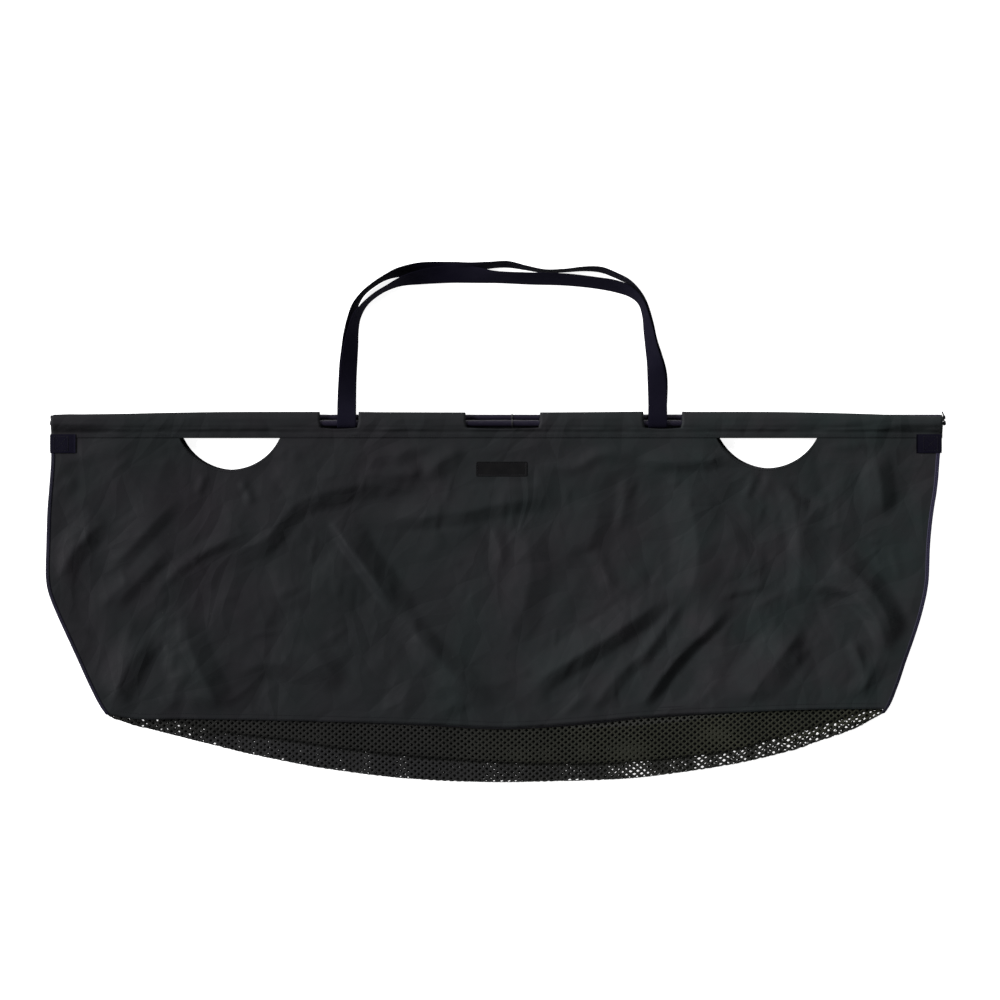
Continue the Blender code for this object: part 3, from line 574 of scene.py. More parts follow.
def effect(name, takes, gives):
    """An empty node group with named inputs and outputs, and their two ends inside it."""
    group = bpy.data.node_groups.new(name, "ShaderNodeTree")
    for label, kind in takes:
        group.interface.new_socket(label, in_out="INPUT", socket_type="NodeSocket" + kind)
    for label, kind in gives:
        group.interface.new_socket(label, in_out="OUTPUT", socket_type="NodeSocket" + kind)
    inner, outer = group.nodes.new("NodeGroupInput"), group.nodes.new("NodeGroupOutput")
    return group, inner.outputs, outer.inputs


def use_effect(tree, group, inputs):
    """The outputs of an effect placed in a material with its own values."""
    return add_node(tree, "Group", inputs, node_tree=group).outputs


def math_node(tree, operation, *values):
    """The result of one sum on values or outputs."""
    return add_node(tree, "Math", dict(enumerate(values)), operation=operation).outputs[0]


def mix_colour(tree, share, first, second):
    """Two colours mixed: the first where the share is 0, the second where it is 1."""
    made = add_node(tree, "Mix", {0: share, 6: first, 7: second}, data_type="RGBA")
    return made.outputs[2]


def graded(tree, value, span, onto=(0.0, 1.0)):
    """A value carried from one span onto another, and held to its ends."""
    made = add_node(tree, "MapRange", {"Value": value, "From Min": span[0], "From Max": span[1],
                                       "To Min": onto[0], "To Max": onto[1]})
    return made.outputs["Result"]


def part_of(tree, place, axis):
    """One of the three numbers of a place."""
    return add_node(tree, "SeparateXYZ", {0: place}).outputs[axis]


# Tint: a colour that drifts between two shades in broad, soft clouds with finer ones in
# them, as dye and coating do on a long roll of cloth.
TINT, takes, gives = effect(
    "tint", [("Place", "Vector"), ("Scale", "Float"), ("First", "Color"), ("Second", "Color")],
    [("Colour", "Color"), ("Cloud", "Float")],
)
broad = add_node(TINT, "TexNoise", {"Vector": takes["Place"], "Scale": takes["Scale"],
                                    "Detail": 5.0, "Roughness": 0.6})
spread = graded(TINT, broad.outputs["Fac"], (0.35, 0.65))
TINT.links.new(spread, gives["Cloud"])
TINT.links.new(mix_colour(TINT, spread, takes["First"], takes["Second"]), gives["Colour"])

# Weave: threads that cross, each a rounded ridge that dives under the next, at the given pitch. Its
# second output is painted shade, darker in the gaps between them.
WEAVE, takes, gives = effect(
    "plain_weave", [("Place", "Vector"), ("Pitch", "Float")],
    [("Height", "Float"), ("GapShade", "Float")],
)
parts = add_node(WEAVE, "SeparateXYZ", {0: takes["Place"]}).outputs
turns = math_node(WEAVE, "DIVIDE", 2 * math.pi, takes["Pitch"])
warp = math_node(WEAVE, "SINE", math_node(WEAVE, "MULTIPLY", parts["X"], turns))
weft = math_node(WEAVE, "SINE", math_node(WEAVE, "MULTIPLY", parts["Y"], turns))
over = math_node(WEAVE, "MULTIPLY_ADD", math_node(WEAVE, "MULTIPLY", warp, weft), 0.5, 0.5)
WEAVE.links.new(over, gives["Height"])
WEAVE.links.new(math_node(WEAVE, "MULTIPLY_ADD", over, 0.3, 0.7), gives["GapShade"])

# Crumple: flat facets that meet in sharp creases, in two sizes, too small for the mesh,
# of a stiff coating that has been folded many times. They run along the folds.
CRUMPLE, takes, gives = effect(
    "crumple", [("Place", "Vector"), ("Scale", "Float")], [("Height", "Float")]
)
turned = add_node(CRUMPLE, "Mapping", {"Vector": takes["Place"], "Rotation": (0, 0, 0.95),
                                       "Scale": (1.2, 0.95, 1.0)}, vector_type="TEXTURE")
bending = add_node(CRUMPLE, "TexNoise", {"Vector": turned.outputs[0], "Scale": 6.0, "Detail": 1.0})
bent = add_node(CRUMPLE, "VectorMath", {0: bending.outputs["Color"], 1: (0.12, 0.12, 0.0),
                                        2: turned.outputs[0]}, operation="MULTIPLY_ADD")
total = 0.0
for octave, weight in ((1.0, 1.0), (2.7, 0.32)):
    cells = add_node(CRUMPLE, "TexVoronoi", {
        "Vector": bent.outputs[0], "Scale": math_node(CRUMPLE, "MULTIPLY", takes["Scale"], octave),
    }, feature="DISTANCE_TO_EDGE", voronoi_dimensions="2D")
    total = math_node(CRUMPLE, "MULTIPLY_ADD", cells.outputs["Distance"], weight / octave, total)
CRUMPLE.links.new(total, gives["Height"])

# Lint: sparse pale specks and short fibres caught on the surface.
LINT, takes, gives = effect(
    "lint", [("Place", "Vector"), ("Scale", "Float"), ("Share", "Float")], [("Mask", "Float")]
)
specks = add_node(LINT, "TexVoronoi", {"Vector": takes["Place"], "Scale": takes["Scale"]},
                  feature="F1")
luck = add_node(LINT, "SeparateColor", {0: specks.outputs["Color"]}).outputs[0]
chosen = math_node(LINT, "LESS_THAN", luck, takes["Share"])
small = math_node(LINT, "LESS_THAN", specks.outputs["Distance"], 0.16)
LINT.links.new(math_node(LINT, "MULTIPLY", chosen, small), gives["Mask"])


def tinted(tree, place, scale, first, second):
    """The tint effect's outputs, for a colour between these two."""
    return use_effect(tree, TINT, {"Place": place, "Scale": scale, "First": (*first, 1),
                                   "Second": (*second, 1)})


def grid_faces(rows, columns, around=False, keep=None):
    """Four-cornered faces of a grid stored row by row, closed along each row on demand;
    keep is a mask of the faces to make."""
    step = columns if around else columns - 1
    row, column = np.mgrid[0 : rows - 1, 0:step]
    after = (column + 1) % columns
    faces = np.stack(
        [row * columns + column, row * columns + after,
         (row + 1) * columns + after, (row + 1) * columns + column], axis=-1
    )
    return faces[keep] if keep is not None else faces.reshape(-1, 4)


def sheet_piece(name, x, y, z, finish, flip=False, wall=None):
    """A mesh over a grid of X, Y and Z, turned over on demand, with a wall if one is given."""
    points = points_at(x, y, z)
    faces = grid_faces(*points.shape[:2])
    made = mesh_piece(name, points, [faces[:, ::-1] if flip else faces], finish)
    return add_wall(made, wall) if wall else made


cloth_finish, tree, shader, place = new_finish("sling_cloth", 0.55, Specular_IOR_Level=0.045)
shade = tinted(tree, place, 6.0, (0.0138, 0.0160, 0.0168), (0.0168, 0.0156, 0.0180))
# Towards the right the cloth is tinted teal and painted brighter. This is partly a drift in colour
# and partly painted light that lifts the right half.
teal_painted_brighter = tinted(tree, place, 9.0, (0.0172, 0.0222, 0.0226), (0.0222, 0.0214, 0.0236))
x_share = graded(tree, part_of(tree, place, "X"), (-0.35, 0.35))
dye_and_painted_light = mix_colour(tree, x_share, shade["Colour"], teal_painted_brighter["Colour"])
specks = use_effect(tree, LINT, {"Place": place, "Scale": 260.0, "Share": 0.004})
threads = use_effect(tree, WEAVE, {"Place": place, "Pitch": 0.0009})
dusty = mix_colour(tree, math_node(tree, "MULTIPLY", specks["Mask"], 0.4), dye_and_painted_light,
                   (0.05, 0.05, 0.05, 1))
feed(tree, dusty, shader, "Base Color")
feed(tree, graded(tree, shade["Cloud"], (0.0, 1.0), (0.52, 0.64)), shader, "Roughness")
creases = use_effect(tree, CRUMPLE, {"Place": place, "Scale": 19.0})
soft = add_node(tree, "Bump", {"Height": creases["Height"], "Strength": 0.9, "Distance": 0.0036})
fine = add_node(tree, "Bump", {"Height": threads["Height"], "Strength": 0.12, "Distance": 0.0002,
                               "Normal": soft.outputs["Normal"]})
feed(tree, fine.outputs["Normal"], shader, "Normal")

x, y = panel_grid(0, COLUMN_STEPS, ROW_STEPS, FRONT_SEAM, FRONT_SIDE_INSET)
front_cloth = sheet_piece("front_cloth", x, y, front_height(x, y), cloth_finish, flip=True,
                          wall=CLOTH_WALL)
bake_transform(front_cloth)
belongs(front_cloth, None, "cloth", "front_panel")

# Back cloth
# The same panel again, lying on the floor underneath. Only its edges show, round the hand
# holes and through the net, so it is creased more simply.
BACK_SEAM = ((100, 711), (109, 714), (124, 716.5), (150, 718), (176, 721.5), (205, 728.5),
             (241, 735), (284, 740), (338, 748.5), (392, 755), (450, 760), (500, 763),
             (560, 764.5), (608, 764), (651, 761), (689, 757), (743, 748.5), (770, 740.5),
             (805, 731), (840, 720), (862, 713), (884, 709))
BACK_Z = 0.0021
BACK_HOLE_SHIFT = 0.0050
BACK_SIDE_INSET = 0.0022
BACK_COLUMN_STEPS = (28, 26, 90, 26, 28)
BACK_ROW_STEPS = 60
BACK_SMALL_FOLDS = (120, 12, 0.0012, 0.012)
BACK_WAVES = ((0.0005, 40, 25, 0),)
BACK_LOWEST, BACK_HIGHEST = -0.0006, 0.0018


def back_height(x, y):
    """Z of the back cloth's middle: it lies on the floor, with low creases only."""
    side = np.minimum(x - left_side(y), right_side(y) - x)
    folds = small_folds(x, y, *BACK_SMALL_FOLDS)
    folds = folds + waves(x, y, BACK_WAVES)
    free = rise(side, 0.004, 0.04) * rise(SEAM_Y - y, 0.0005, 0.016)
    free = free * rise(y - line_y(x, BACK_SEAM), 0.002, 0.02)
    return BACK_Z + np.clip(folds * free * (1 - near_tabs(x, y)), BACK_LOWEST, BACK_HIGHEST)


x, y = panel_grid(
    BACK_HOLE_SHIFT, BACK_COLUMN_STEPS, BACK_ROW_STEPS, BACK_SEAM, BACK_SIDE_INSET
)
back_cloth = sheet_piece("back_cloth", x, y, back_height(x, y), cloth_finish, flip=True,
                         wall=CLOTH_WALL)
belongs(back_cloth, "back", "cloth", "back_panel")

# Sleeves
# Along the top each panel is turned over its pole and sewn to itself. Three windows are
# cut out of each sleeve: two for the handles' feet and one at the pole's joint.
FRONT_POLE = (0.13235, 0.0142)
BACK_POLE = (0.14035, 0.0056)
SLEEVE_RADIUS = 0.0052
SLEEVE_TIP = 0.013
SLEEVE_SLACK = 0.0004
SLEEVE_GAP = 0.0010
SLEEVE_COLUMN = 0.0042
ARC_STEPS = 40
SLEEVE_WAVES = ((0.00042, 51, 60, 1.1), (0.00034, -93, 90, 2.0), (0.00024, 171, 0, 0.3),
                (0.00018, 263, -110, 4.1))
SLEEVE_BELL = 0.010
SLEEVE_FLANKS = (0.007, 0.005, 0.0006)
SLEEVE_FOLDS_END = 0.1455
HEM_RAMP = 0.0134
HEM_EASE = 0.11
LEFT_END, RIGHT_END = -0.6006, 0.60437
SLEEVE_TOP = ((50, 416.5), (54, 415.2), (62, 414.6), (85, 414.4), (120, 414), (165, 413),
              (210, 412.3), (300, 412), (400, 412.4), (500, 412.6), (600, 412.2),
              (640, 411.8), (690, 412), (780, 412.2), (825, 413), (880, 414.6), (905, 415.6),
              (930, 416.4), (942, 417))
SIDE_WINDOW = 0.0485
CENTRE_WINDOW = 0.0965
FRONT_WINDOW_DROP = 0.0215
BACK_WINDOW_DROP = 0.0165
WINDOW_BOW = 0.0015
WINDOW_FLARE = 0.002
ARCH_X = MIDDLE_X + 0.0016
ARCH_HALF_SPAN = 0.2101
LEFT_FOOT_X, RIGHT_FOOT_X = ARCH_X - ARCH_HALF_SPAN, ARCH_X + ARCH_HALF_SPAN
WINDOWS = (
    (LEFT_FOOT_X - 0.0101, SIDE_WINDOW), (MIDDLE_X + 0.0024, CENTRE_WINDOW),
    (RIGHT_FOOT_X + 0.0069, SIDE_WINDOW),
)


def sleeve_section(pole_y, pole_z, low_z, high_z, slack):
    """The line of cloth round one pole, as Y and Z: flat from the seam to the sleeve's
    mouth, straight on to where it touches the pole's circle, round it, and back above.
    Slack cloth leaves the circle at its far side for a loose fold through the points."""
    mouth = pole_y - SLEEVE_TIP

    def touch(z, turn):
        """The angle at which a line from the sleeve's mouth touches the circle."""
        away_y, away_z = mouth - pole_y, z - pole_z
        spread = math.acos(SLEEVE_RADIUS / math.hypot(away_y, away_z))
        return math.atan2(away_z, away_y) + turn * spread

    def arc(start, stop):
        """Points round the circle between two angles."""
        turn = np.linspace(start, stop, ARC_STEPS)
        return points_at(pole_y, pole_z) + SLEEVE_RADIUS * points_at(np.cos(turn), np.sin(turn))

    low, high = touch(low_z, 1), touch(high_z, -1) + 2 * math.pi
    parts = [[(SEAM_Y, low_z), (mouth, low_z)]]
    if slack:
        order = np.arange(len(slack) + 2)
        first, last = arc(low, -0.25), arc(1.42, high)
        knots = np.concatenate([first[-1:], np.array(slack), last[:1]])
        at = np.linspace(0, len(knots) - 1, 60)[1:-1]
        loose = points_at(*(curve_at(at, order, axis) for axis in knots.T))
        parts += [first, loose, last]
    else:
        parts.append(arc(low, high))
    parts.append([(mouth, high_z), (SEAM_Y, high_z)])
    return np.concatenate(parts)


def sleeve(name, pole, low_z, window_drop, finish, slack=()):
    """The sleeve's cloth as a grid of columns across and rows round the pole. The rows
    meet the windows' lower edges, which bow upwards at their ends, and the columns
    beside a window lean outwards round the pole."""
    pole_y, pole_z = pole
    section = sleeve_section(pole_y + SLEEVE_SLACK, pole_z, low_z, low_z + SLEEVE_GAP, slack)
    run = run_along(section)
    crown = np.argmax(section[:, 0])
    keys, steps = [LEFT_END], []
    for middle, width in WINDOWS:
        keys += [middle - width / 2, middle + width / 2]
    keys.append(RIGHT_END)
    column = [np.linspace(a, b, max(2, round((b - a) / SLEEVE_COLUMN)), endpoint=False)
              for a, b in zip(keys, keys[1:])]
    column = np.concatenate(column + [[RIGHT_END]])
    inside = np.zeros(column.shape, bool)
    bow = np.zeros(column.shape)
    lean = np.zeros(column.shape)
    for middle, width in WINDOWS:
        share = (column - middle) / (width / 2)
        within = np.abs(share) < 1 + 1e-6
        bow[within] = WINDOW_BOW * share[within] ** 2
        inside |= within
        reach = rise(0.03 - np.abs(np.abs(column - middle) - width / 2), 0, 0.03)
        lean += np.sign(share) * reach * WINDOW_FLARE * (np.abs(share) > 0.999)
    bow[~inside] = WINDOW_BOW
    edge_y = TOP_Y - window_drop + bow
    low_run = np.interp(edge_y, section[: crown + 1, 0], run[: crown + 1])
    high_run = np.interp(-edge_y, -section[crown:, 0], run[crown:])
    low_steps, ring_steps, high_steps = 5, 44 if slack else 26, 9
    at = np.concatenate(
        [
            np.linspace(0, 1, low_steps, endpoint=False)[:, None] * low_run,
            low_run + np.linspace(0, 1, ring_steps, endpoint=False)[:, None] * (high_run - low_run),
            high_run + np.linspace(0, 1, high_steps + 1)[:, None] * (run[-1] - high_run),
        ]
    )
    y = np.interp(at, run, section[:, 0])
    z = np.interp(at, run, section[:, 1])
    round_pole = rise(y, TOP_Y - window_drop, pole_y + 0.004)
    x = column + lean * round_pole
    tip = section[crown, 0]
    y = y + (line_y(column, SLEEVE_TOP) - TOP_Y) * np.clip((y - pole_y) / (tip - pole_y), 0, None)
    above = rise(z, pole_z - 0.003, pole_z) * (at > run[crown])
    ripple = waves(x, y, SLEEVE_WAVES)
    upper = (at > high_run) & (y > SEAM_Y + 0.002)
    bell = np.clip(1 - np.abs((y - (SEAM_Y + SLEEVE_BELL)) / SLEEVE_BELL), 0, 1)
    z = z + np.where(upper, (ripple + 0.0004) * bell, 0) + above * (ripple * 0.25 + 0.0003)
    if slack:
        free = rise(y, SEAM_Y + 0.001, SEAM_Y + 0.006) * rise(SLEEVE_FOLDS_END - y, 0, 0.005)
        for path, height in SLEEVE_FOLDS:
            fold = fold_height(x, y, thick_line(path, 4), height * MM, *SLEEVE_FLANKS)
            z = z + fold * free * above
        out = np.clip((pole_y - y) / HEM_RAMP, 0, 1)
        eased = out - HEM_EASE * (1 - np.exp(-out / HEM_EASE))
        z = z + hem_lift(x) * eased / (1 - HEM_EASE)
    rows = len(at)
    keep = np.ones((rows - 1, len(column) - 1), bool)
    between = (column[:-1] + column[1:]) / 2
    for middle, width in WINDOWS:
        cut = np.abs(between - middle) < width / 2
        keep[low_steps : low_steps + ring_steps, cut] = False
    faces = grid_faces(rows, len(column), keep=keep)
    return mesh_piece(name, points_at(x, y, z), [faces], finish)


# Creases that run along the front sleeve, as paths of pixels with their heights in mm.
SLEEVE_FOLDS = (
    (((60, 430), (92, 427), (132, 430)), 0.9), (((165, 432), (232, 428), (300, 432)), 1.3),
    (((196, 421), (250, 419), (312, 421)), 0.6), (((362, 433), (404, 429), (452, 432)), 1.2),
    (((440, 434), (500, 430), (566, 433)), 1.5), (((552, 430), (606, 433), (640, 429)), 1.2),
    (((690, 432), (742, 428), (806, 431)), 1.1), (((812, 437), (852, 433), (908, 425)), 1.7),
    (((384, 421), (420, 419), (456, 421)), 0.6), (((552, 420), (590, 418), (632, 420)), 0.6),
    (((826, 424), (866, 421), (900, 420)), 0.7),
)
LOOSE_FOLD = ((0.1405, 0.0128), (0.1432, 0.0123), (0.1457, 0.0126), (0.14635, 0.0135),
              (0.1458, 0.0148), (0.1425, 0.0169), (0.1385, 0.0187))
front_sleeve = sleeve("front_sleeve", FRONT_POLE, FRONT_Z - CLOTH_WALL, FRONT_WINDOW_DROP,
                      cloth_finish, LOOSE_FOLD)
add_wall(front_sleeve, CLOTH_WALL)
belongs(front_sleeve, "front", "cloth")
back_sleeve = sleeve("back_sleeve", BACK_POLE, BACK_Z - 0.0002, BACK_WINDOW_DROP, cloth_finish)
add_wall(back_sleeve, CLOTH_WALL)
belongs(back_sleeve, "back", "cloth")

# Net
# The mesh base hangs from both panels' lower edges and is folded flat along its middle:
# a knitted net of rounded strands, with diamond holes in offset rows.
NET_ACROSS = 0.0097
NET_DOWN = 0.0079
NET_STRAND_Z = 0.0005
NET_RING_HEIGHTS = (1.0, 0.75, -0.1, -0.7)
NET_SHOULDER = (0.45, 0.55)
NET_HOLE = (0.00235, 0.0016)
NET_FOLD_RADIUS = 0.0010
NET_TUCK = 0.003
NET_Z = 0.0022
NET_ROWS, NET_HALF_COLUMNS = 40, 56
NET_LEFT, NET_RIGHT = 106, 885
NET_CORNER = (0.4155, 0.0841)
NET_POWER = 1.35
NET_HEM_SAG, NET_EDGE_SAG = 0.0036, 0.0024
NET_CREASE, NET_CREASE_AT, NET_CREASE_REACH = 0.0019, 0.0005, 0.0038
NET_SAG_WAVES = ((0.0003, 90, 0, 3), (0.0003, 41, 0, 0))
NET_SHIFT = 0.00485
NET_SHIFT_WAVES = ((0.0016, 61, 0, 1), (0.0012, 143, 0, 0), (0.0011, 47, 330, 0))
ON_BACK_LEAF = 0.1
BOTTOM = ((104, 713), (112, 718), (124, 722), (131, 724.5), (154, 730), (177, 736), (201, 742),
          (225, 748), (250, 754), (279, 760), (310, 766), (349, 772), (402, 778), (450, 781),
          (500, 782), (560, 781), (632, 778), (683, 772), (722, 766), (753, 760), (778, 754),
          (800, 748), (816, 742), (835, 736), (851, 730), (863, 724.5), (874, 718), (888, 711))
# How far the back leaf's holes are open along the picture, and spots of the net where
# the twine is drawn together: their middle and reach in pixels, and by how much.
BACK_OPEN = ((100, 1.0), (188, 1.0), (212, 0.30), (585, 0.30), (605, 0.9), (640, 1.05),
             (655, 0.45), (685, 0.45), (700, 1.05), (738, 1.05), (750, 0.6), (768, 1.08),
             (885, 1.1))
NET_SHUT = ((630, 750, 20, 8, 0.75), (716, 734, 16, 7, 0.7), (585, 750, 8, 6, 0.5),
            (546, 753, 9, 6, 0.45), (516, 754, 12, 6, 0.4), (300, 742, 30, 8, 0.35))


def net_place(x, down):
    """X, Y and Z of the net's middle, at a distance down from its front seam: along the
    front leaf, which sags below the seam and over the back panel's edge, half a turn
    round the fold, and flat back along the back leaf, which is shifted a little."""
    seam, bottom, edge = line_y(x, FRONT_SEAM), line_y(x, BOTTOM), line_y(x, BACK_SEAM)
    radius = np.minimum(NET_FOLD_RADIUS, np.maximum((seam - bottom) / 2 - 0.0005, 0.0008))
    front = np.maximum(seam + NET_TUCK - bottom - radius, 0.0005)
    turn = np.clip((down - front) / radius, 0, math.pi)
    back = down - front - math.pi * radius
    y = np.where(down < front, seam + NET_TUCK - down, bottom + radius - radius * np.sin(turn))
    y = np.where(back > 0, bottom + radius + back, y)
    z = NET_Z + radius * (1 + np.cos(turn))
    total = front + math.pi * radius + np.maximum(edge + NET_TUCK - bottom - radius, 0)
    flat = rise(front - down, 0, 0.006)
    under = 1 - rise(down, NET_TUCK, NET_TUCK + 0.0035)
    above = rise(y - edge, -0.002, 0.002)
    crease = np.maximum(0, 1 - np.abs(y - edge - NET_CREASE_AT) / NET_CREASE_REACH)
    sag = NET_HEM_SAG * under + NET_EDGE_SAG * above * (1 - under) - NET_CREASE * crease
    sag = sag + waves(x, down, NET_SAG_WAVES)
    shift = NET_SHIFT * (1 - rise(pixel_column(x), 600, 690)) + waves(x, down, NET_SHIFT_WAVES)
    shift = shift * rise(down - front, 0, math.pi * radius + 0.003)
    return x + shift, y, z + sag * flat, total


def relief(tree, shader, height, strength, distance):
    """Lets a height in metres turn the shader's normal."""
    bump = add_node(tree, "Bump", {"Height": height, "Strength": strength, "Distance": distance})
    feed(tree, bump.outputs["Normal"], shader, "Normal")


def woven(tree, shader, threads, gaps, colour, strength, distance):
    """Lets a weave paint shade into the gaps between its threads and turn the shader's normal."""
    feed(tree, mix_colour(tree, threads["GapShade"], (*gaps, 1), colour), shader, "Base Color")
    relief(tree, shader, threads["Height"], strength, distance)


# The twine is grey at the left and olive at the right. On the back leaf it is painted paler, as
# painted light against the front leaf's shade. It is greyer past the back panel's edge, and
# darkened in the crease over that edge as painted shade. The UV map's second number is how far
# below that edge the twine lies, or a large value on the back leaf.
net_finish, tree, shader, place = new_finish("net_twine", 0.62, Specular_IOR_Level=0.12)
shade = tinted(tree, place, 16.0, (0.0100, 0.0099, 0.0096), (0.0140, 0.0135, 0.0130))
olive = tinted(tree, place, 11.0, (0.0190, 0.0202, 0.0140), (0.0285, 0.0290, 0.0195))
x_share = graded(tree, part_of(tree, place, "X"), (-0.10, 0.22))
dye_and_painted_light = mix_colour(tree, x_share, shade["Colour"], olive["Colour"])
lying = part_of(tree, add_node(tree, "UVMap", uv_map="cloth").outputs["UV"], "Y")
# Painted light: the back leaf lies in the front leaf's shade, so it is painted paler.
back_leaf_painted_light = math_node(tree, "MULTIPLY", math_node(tree, "GREATER_THAN", lying, 0.05), 0.6)
below = graded(tree, lying, (0.0, -0.004), (0.0, 0.6))
# Painted shade: the twine is darkened along the crease over the back panel's edge.
crease = graded(tree, math_node(tree, "ABSOLUTE", lying), (0.0010, 0.0034), (0.72, 0.0))
dye_and_painted_light = mix_colour(tree, back_leaf_painted_light, dye_and_painted_light, (0.040, 0.040, 0.038, 1))
dye_and_painted_light = mix_colour(tree, below, dye_and_painted_light, (0.0175, 0.0172, 0.0198, 1))
dye_and_painted_light = mix_colour(tree, crease, dye_and_painted_light, (0.0030, 0.0030, 0.0034, 1))
threads = use_effect(tree, WEAVE, {"Place": place, "Pitch": 0.0007})
woven(tree, shader, threads, (0.009, 0.010, 0.007), dye_and_painted_light, 0.5, 0.0003)

# Each hole has its own cell of six corners. Four rings of twelve points lie between the
# cell's rim and the hole: the rim above, a shoulder, the hole, and the rim below.
row, column = np.mgrid[0:NET_ROWS, -NET_HALF_COLUMNS : NET_HALF_COLUMNS + 1]
centre_x = MIDDLE_X - 0.004 + (column + 0.5 * (row % 2)) * NET_ACROSS
centre_down = row * NET_DOWN / 2
left_edge, right_edge = column_x(NET_LEFT), column_x(NET_RIGHT)
total = net_place(centre_x, centre_down)[3]
kept = (centre_down < total + 0.001) & (centre_x > left_edge) & (centre_x < right_edge)
centres = points_at(centre_x[kept], centre_down[kept])
corner_x, corner_y = (NET_ACROSS * share for share in NET_CORNER)
half_down = NET_DOWN / 2
corners = np.array([(corner_x, 0), (corner_y, half_down), (-corner_y, half_down), (-corner_x, 0),
                    (-corner_y, -half_down), (corner_y, -half_down)])
rim = np.stack([corners, (corners + np.roll(corners, -1, axis=0)) / 2], 1).reshape(-1, 2)
angle = np.arctan2(rim[:, 1] / NET_HOLE[1], rim[:, 0] / NET_HOLE[0])
bend = np.abs(np.cos(angle)) ** NET_POWER + np.abs(np.sin(angle)) ** NET_POWER
bend = bend ** (-1 / NET_POWER)
hole = points_at(NET_HOLE[0] * bend * np.cos(angle), NET_HOLE[1] * bend * np.sin(angle))
across, down_row = pixel_column(centres[:, 0]), pixel_row(net_place(*centres.T)[1])
open_share = 0.78 + 0.28 * rise(across, 420, 690)
turned_under = centres[:, 1] > (
    line_y(centres[:, 0], FRONT_SEAM) + NET_TUCK - line_y(centres[:, 0], BOTTOM) + 0.0035
)
open_share[turned_under] *= np.interp(across, *np.array(BACK_OPEN).T)[turned_under]
for spot_x, spot_y, wide, tall, shut in NET_SHUT:
    away = ((across - spot_x) / wide) ** 2 + ((down_row - spot_y) / tall) ** 2
    open_share *= 1 - shut * np.exp(-away)
hole = hole[None] * open_share[:, None, None]
rim = np.broadcast_to(rim, hole.shape)
shoulder = rim * NET_SHOULDER[0] + hole * NET_SHOULDER[1]
rings = np.stack([rim, shoulder, hole, rim], 1)
heights = np.array(NET_RING_HEIGHTS) * NET_STRAND_Z
flat = centres[:, None, None] + rings
flat[..., 0] = np.clip(flat[..., 0], left_edge - 0.001, right_edge + 0.001)
flat[..., 1] = np.maximum(flat[..., 1], 0)
lift = np.broadcast_to(heights[None, :, None], flat.shape[:-1])
key = np.round(np.concatenate([flat, lift[..., None]], -1).reshape(-1, 3) * 2e5).astype(np.int64)
_, first, shared = np.unique(key, axis=0, return_index=True, return_inverse=True)
x, down = flat.reshape(-1, 2)[first].T
lift = lift.reshape(-1)[first]
_, behind, z_behind, _ = net_place(x, down - 0.0002)
_, ahead, z_ahead, _ = net_place(x, down + 0.0002)
x, y, z, total = net_place(x, down)
turned_back = down > line_y(x, FRONT_SEAM) + NET_TUCK - line_y(x, BOTTOM) + 0.001
# At the net's two ends, the crease's painted shade and the greyer band fade out.
edge_faint = 0.012 * (1 - rise(pixel_column(x), 190, 235)) + 0.012 * rise(pixel_column(x), 770, 800)
from_edge = np.where(turned_back, ON_BACK_LEAF, y - line_y(x, BACK_SEAM) + edge_faint)
slope = np.hypot(ahead - behind, z_ahead - z_behind)
y, z = y + lift * (z_ahead - z_behind) / slope, z + lift * (behind - ahead) / slope
number = shared.reshape(len(centres), 4, 12)
turned = np.roll(number, -1, axis=2)
strands = points_at(number[:, :-1], turned[:, :-1], turned[:, 1:], number[:, 1:])
net_mesh = mesh_piece("net_mesh", points_at(x, y, z), [strands.reshape(-1, 4)], net_finish,
                      uv=points_at(x, from_edge))
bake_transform(net_mesh)
belongs(net_mesh, None, "net", "net_base")

# Handles
# Two bands of soft webbing, each laid over in an arch between its two feet. The band
# leans over on its edge round the corners; the front one is sewn round its pole.
WEBBING_WIDTH = 0.0255
WEBBING_WALL = 0.0013
WRAP_STEPS = 22
ARCH_RISE = 0.2130
ARCH_LIFT = 0.0200
BAND_SIDES = 20
BAND_ROUND = 0.42
WRAP_RADIUS = 0.0062
# Stations of each handle as shares: across from the middle, up the arch, lean from flat
# to upright, and lift off the floor.
FRONT_HANDLE = (
    (-1.000, 0.000, 0.00, 1.005), (-1.000, 0.044, 0.00, 0.910), (-1.000, 0.111, 0.02, 0.575),
    (-0.998, 0.193, 0.14, 0.280), (-0.994, 0.288, 0.22, 0.145), (-0.985, 0.390, 0.32, 0.150),
    (-0.972, 0.492, 0.46, 0.140), (-0.958, 0.593, 0.62, 0.110), (-0.935, 0.679, 0.72, 0.085),
    (-0.883, 0.755, 0.84, 0.075), (-0.813, 0.816, 0.86, 0.075), (-0.735, 0.861, 0.84, 0.075),
    (-0.645, 0.900, 0.70, 0.080), (-0.529, 0.926, 0.48, 0.095), (-0.368, 0.945, 0.28, 0.110),
    (-0.214, 0.945, 0.30, 0.110), (-0.046, 0.928, 0.575, 0.100), (0.179, 0.9185, 0.58, 0.090),
    (0.404, 0.912, 0.58, 0.090), (0.598, 0.8915, 0.60, 0.085), (0.739, 0.867, 0.58, 0.080),
    (0.836, 0.825, 0.70, 0.075), (0.894, 0.765, 0.80, 0.075), (0.923, 0.682, 0.78, 0.080),
    (0.942, 0.581, 0.66, 0.090), (0.961, 0.473, 0.56, 0.130), (0.983, 0.371, 0.36, 0.150),
    (0.995, 0.276, 0.12, 0.145), (0.999, 0.187, 0.02, 0.250), (1.000, 0.111, 0.00, 0.575),
    (1.000, 0.044, 0.00, 0.910), (1.000, 0.000, 0.00, 1.005),
)
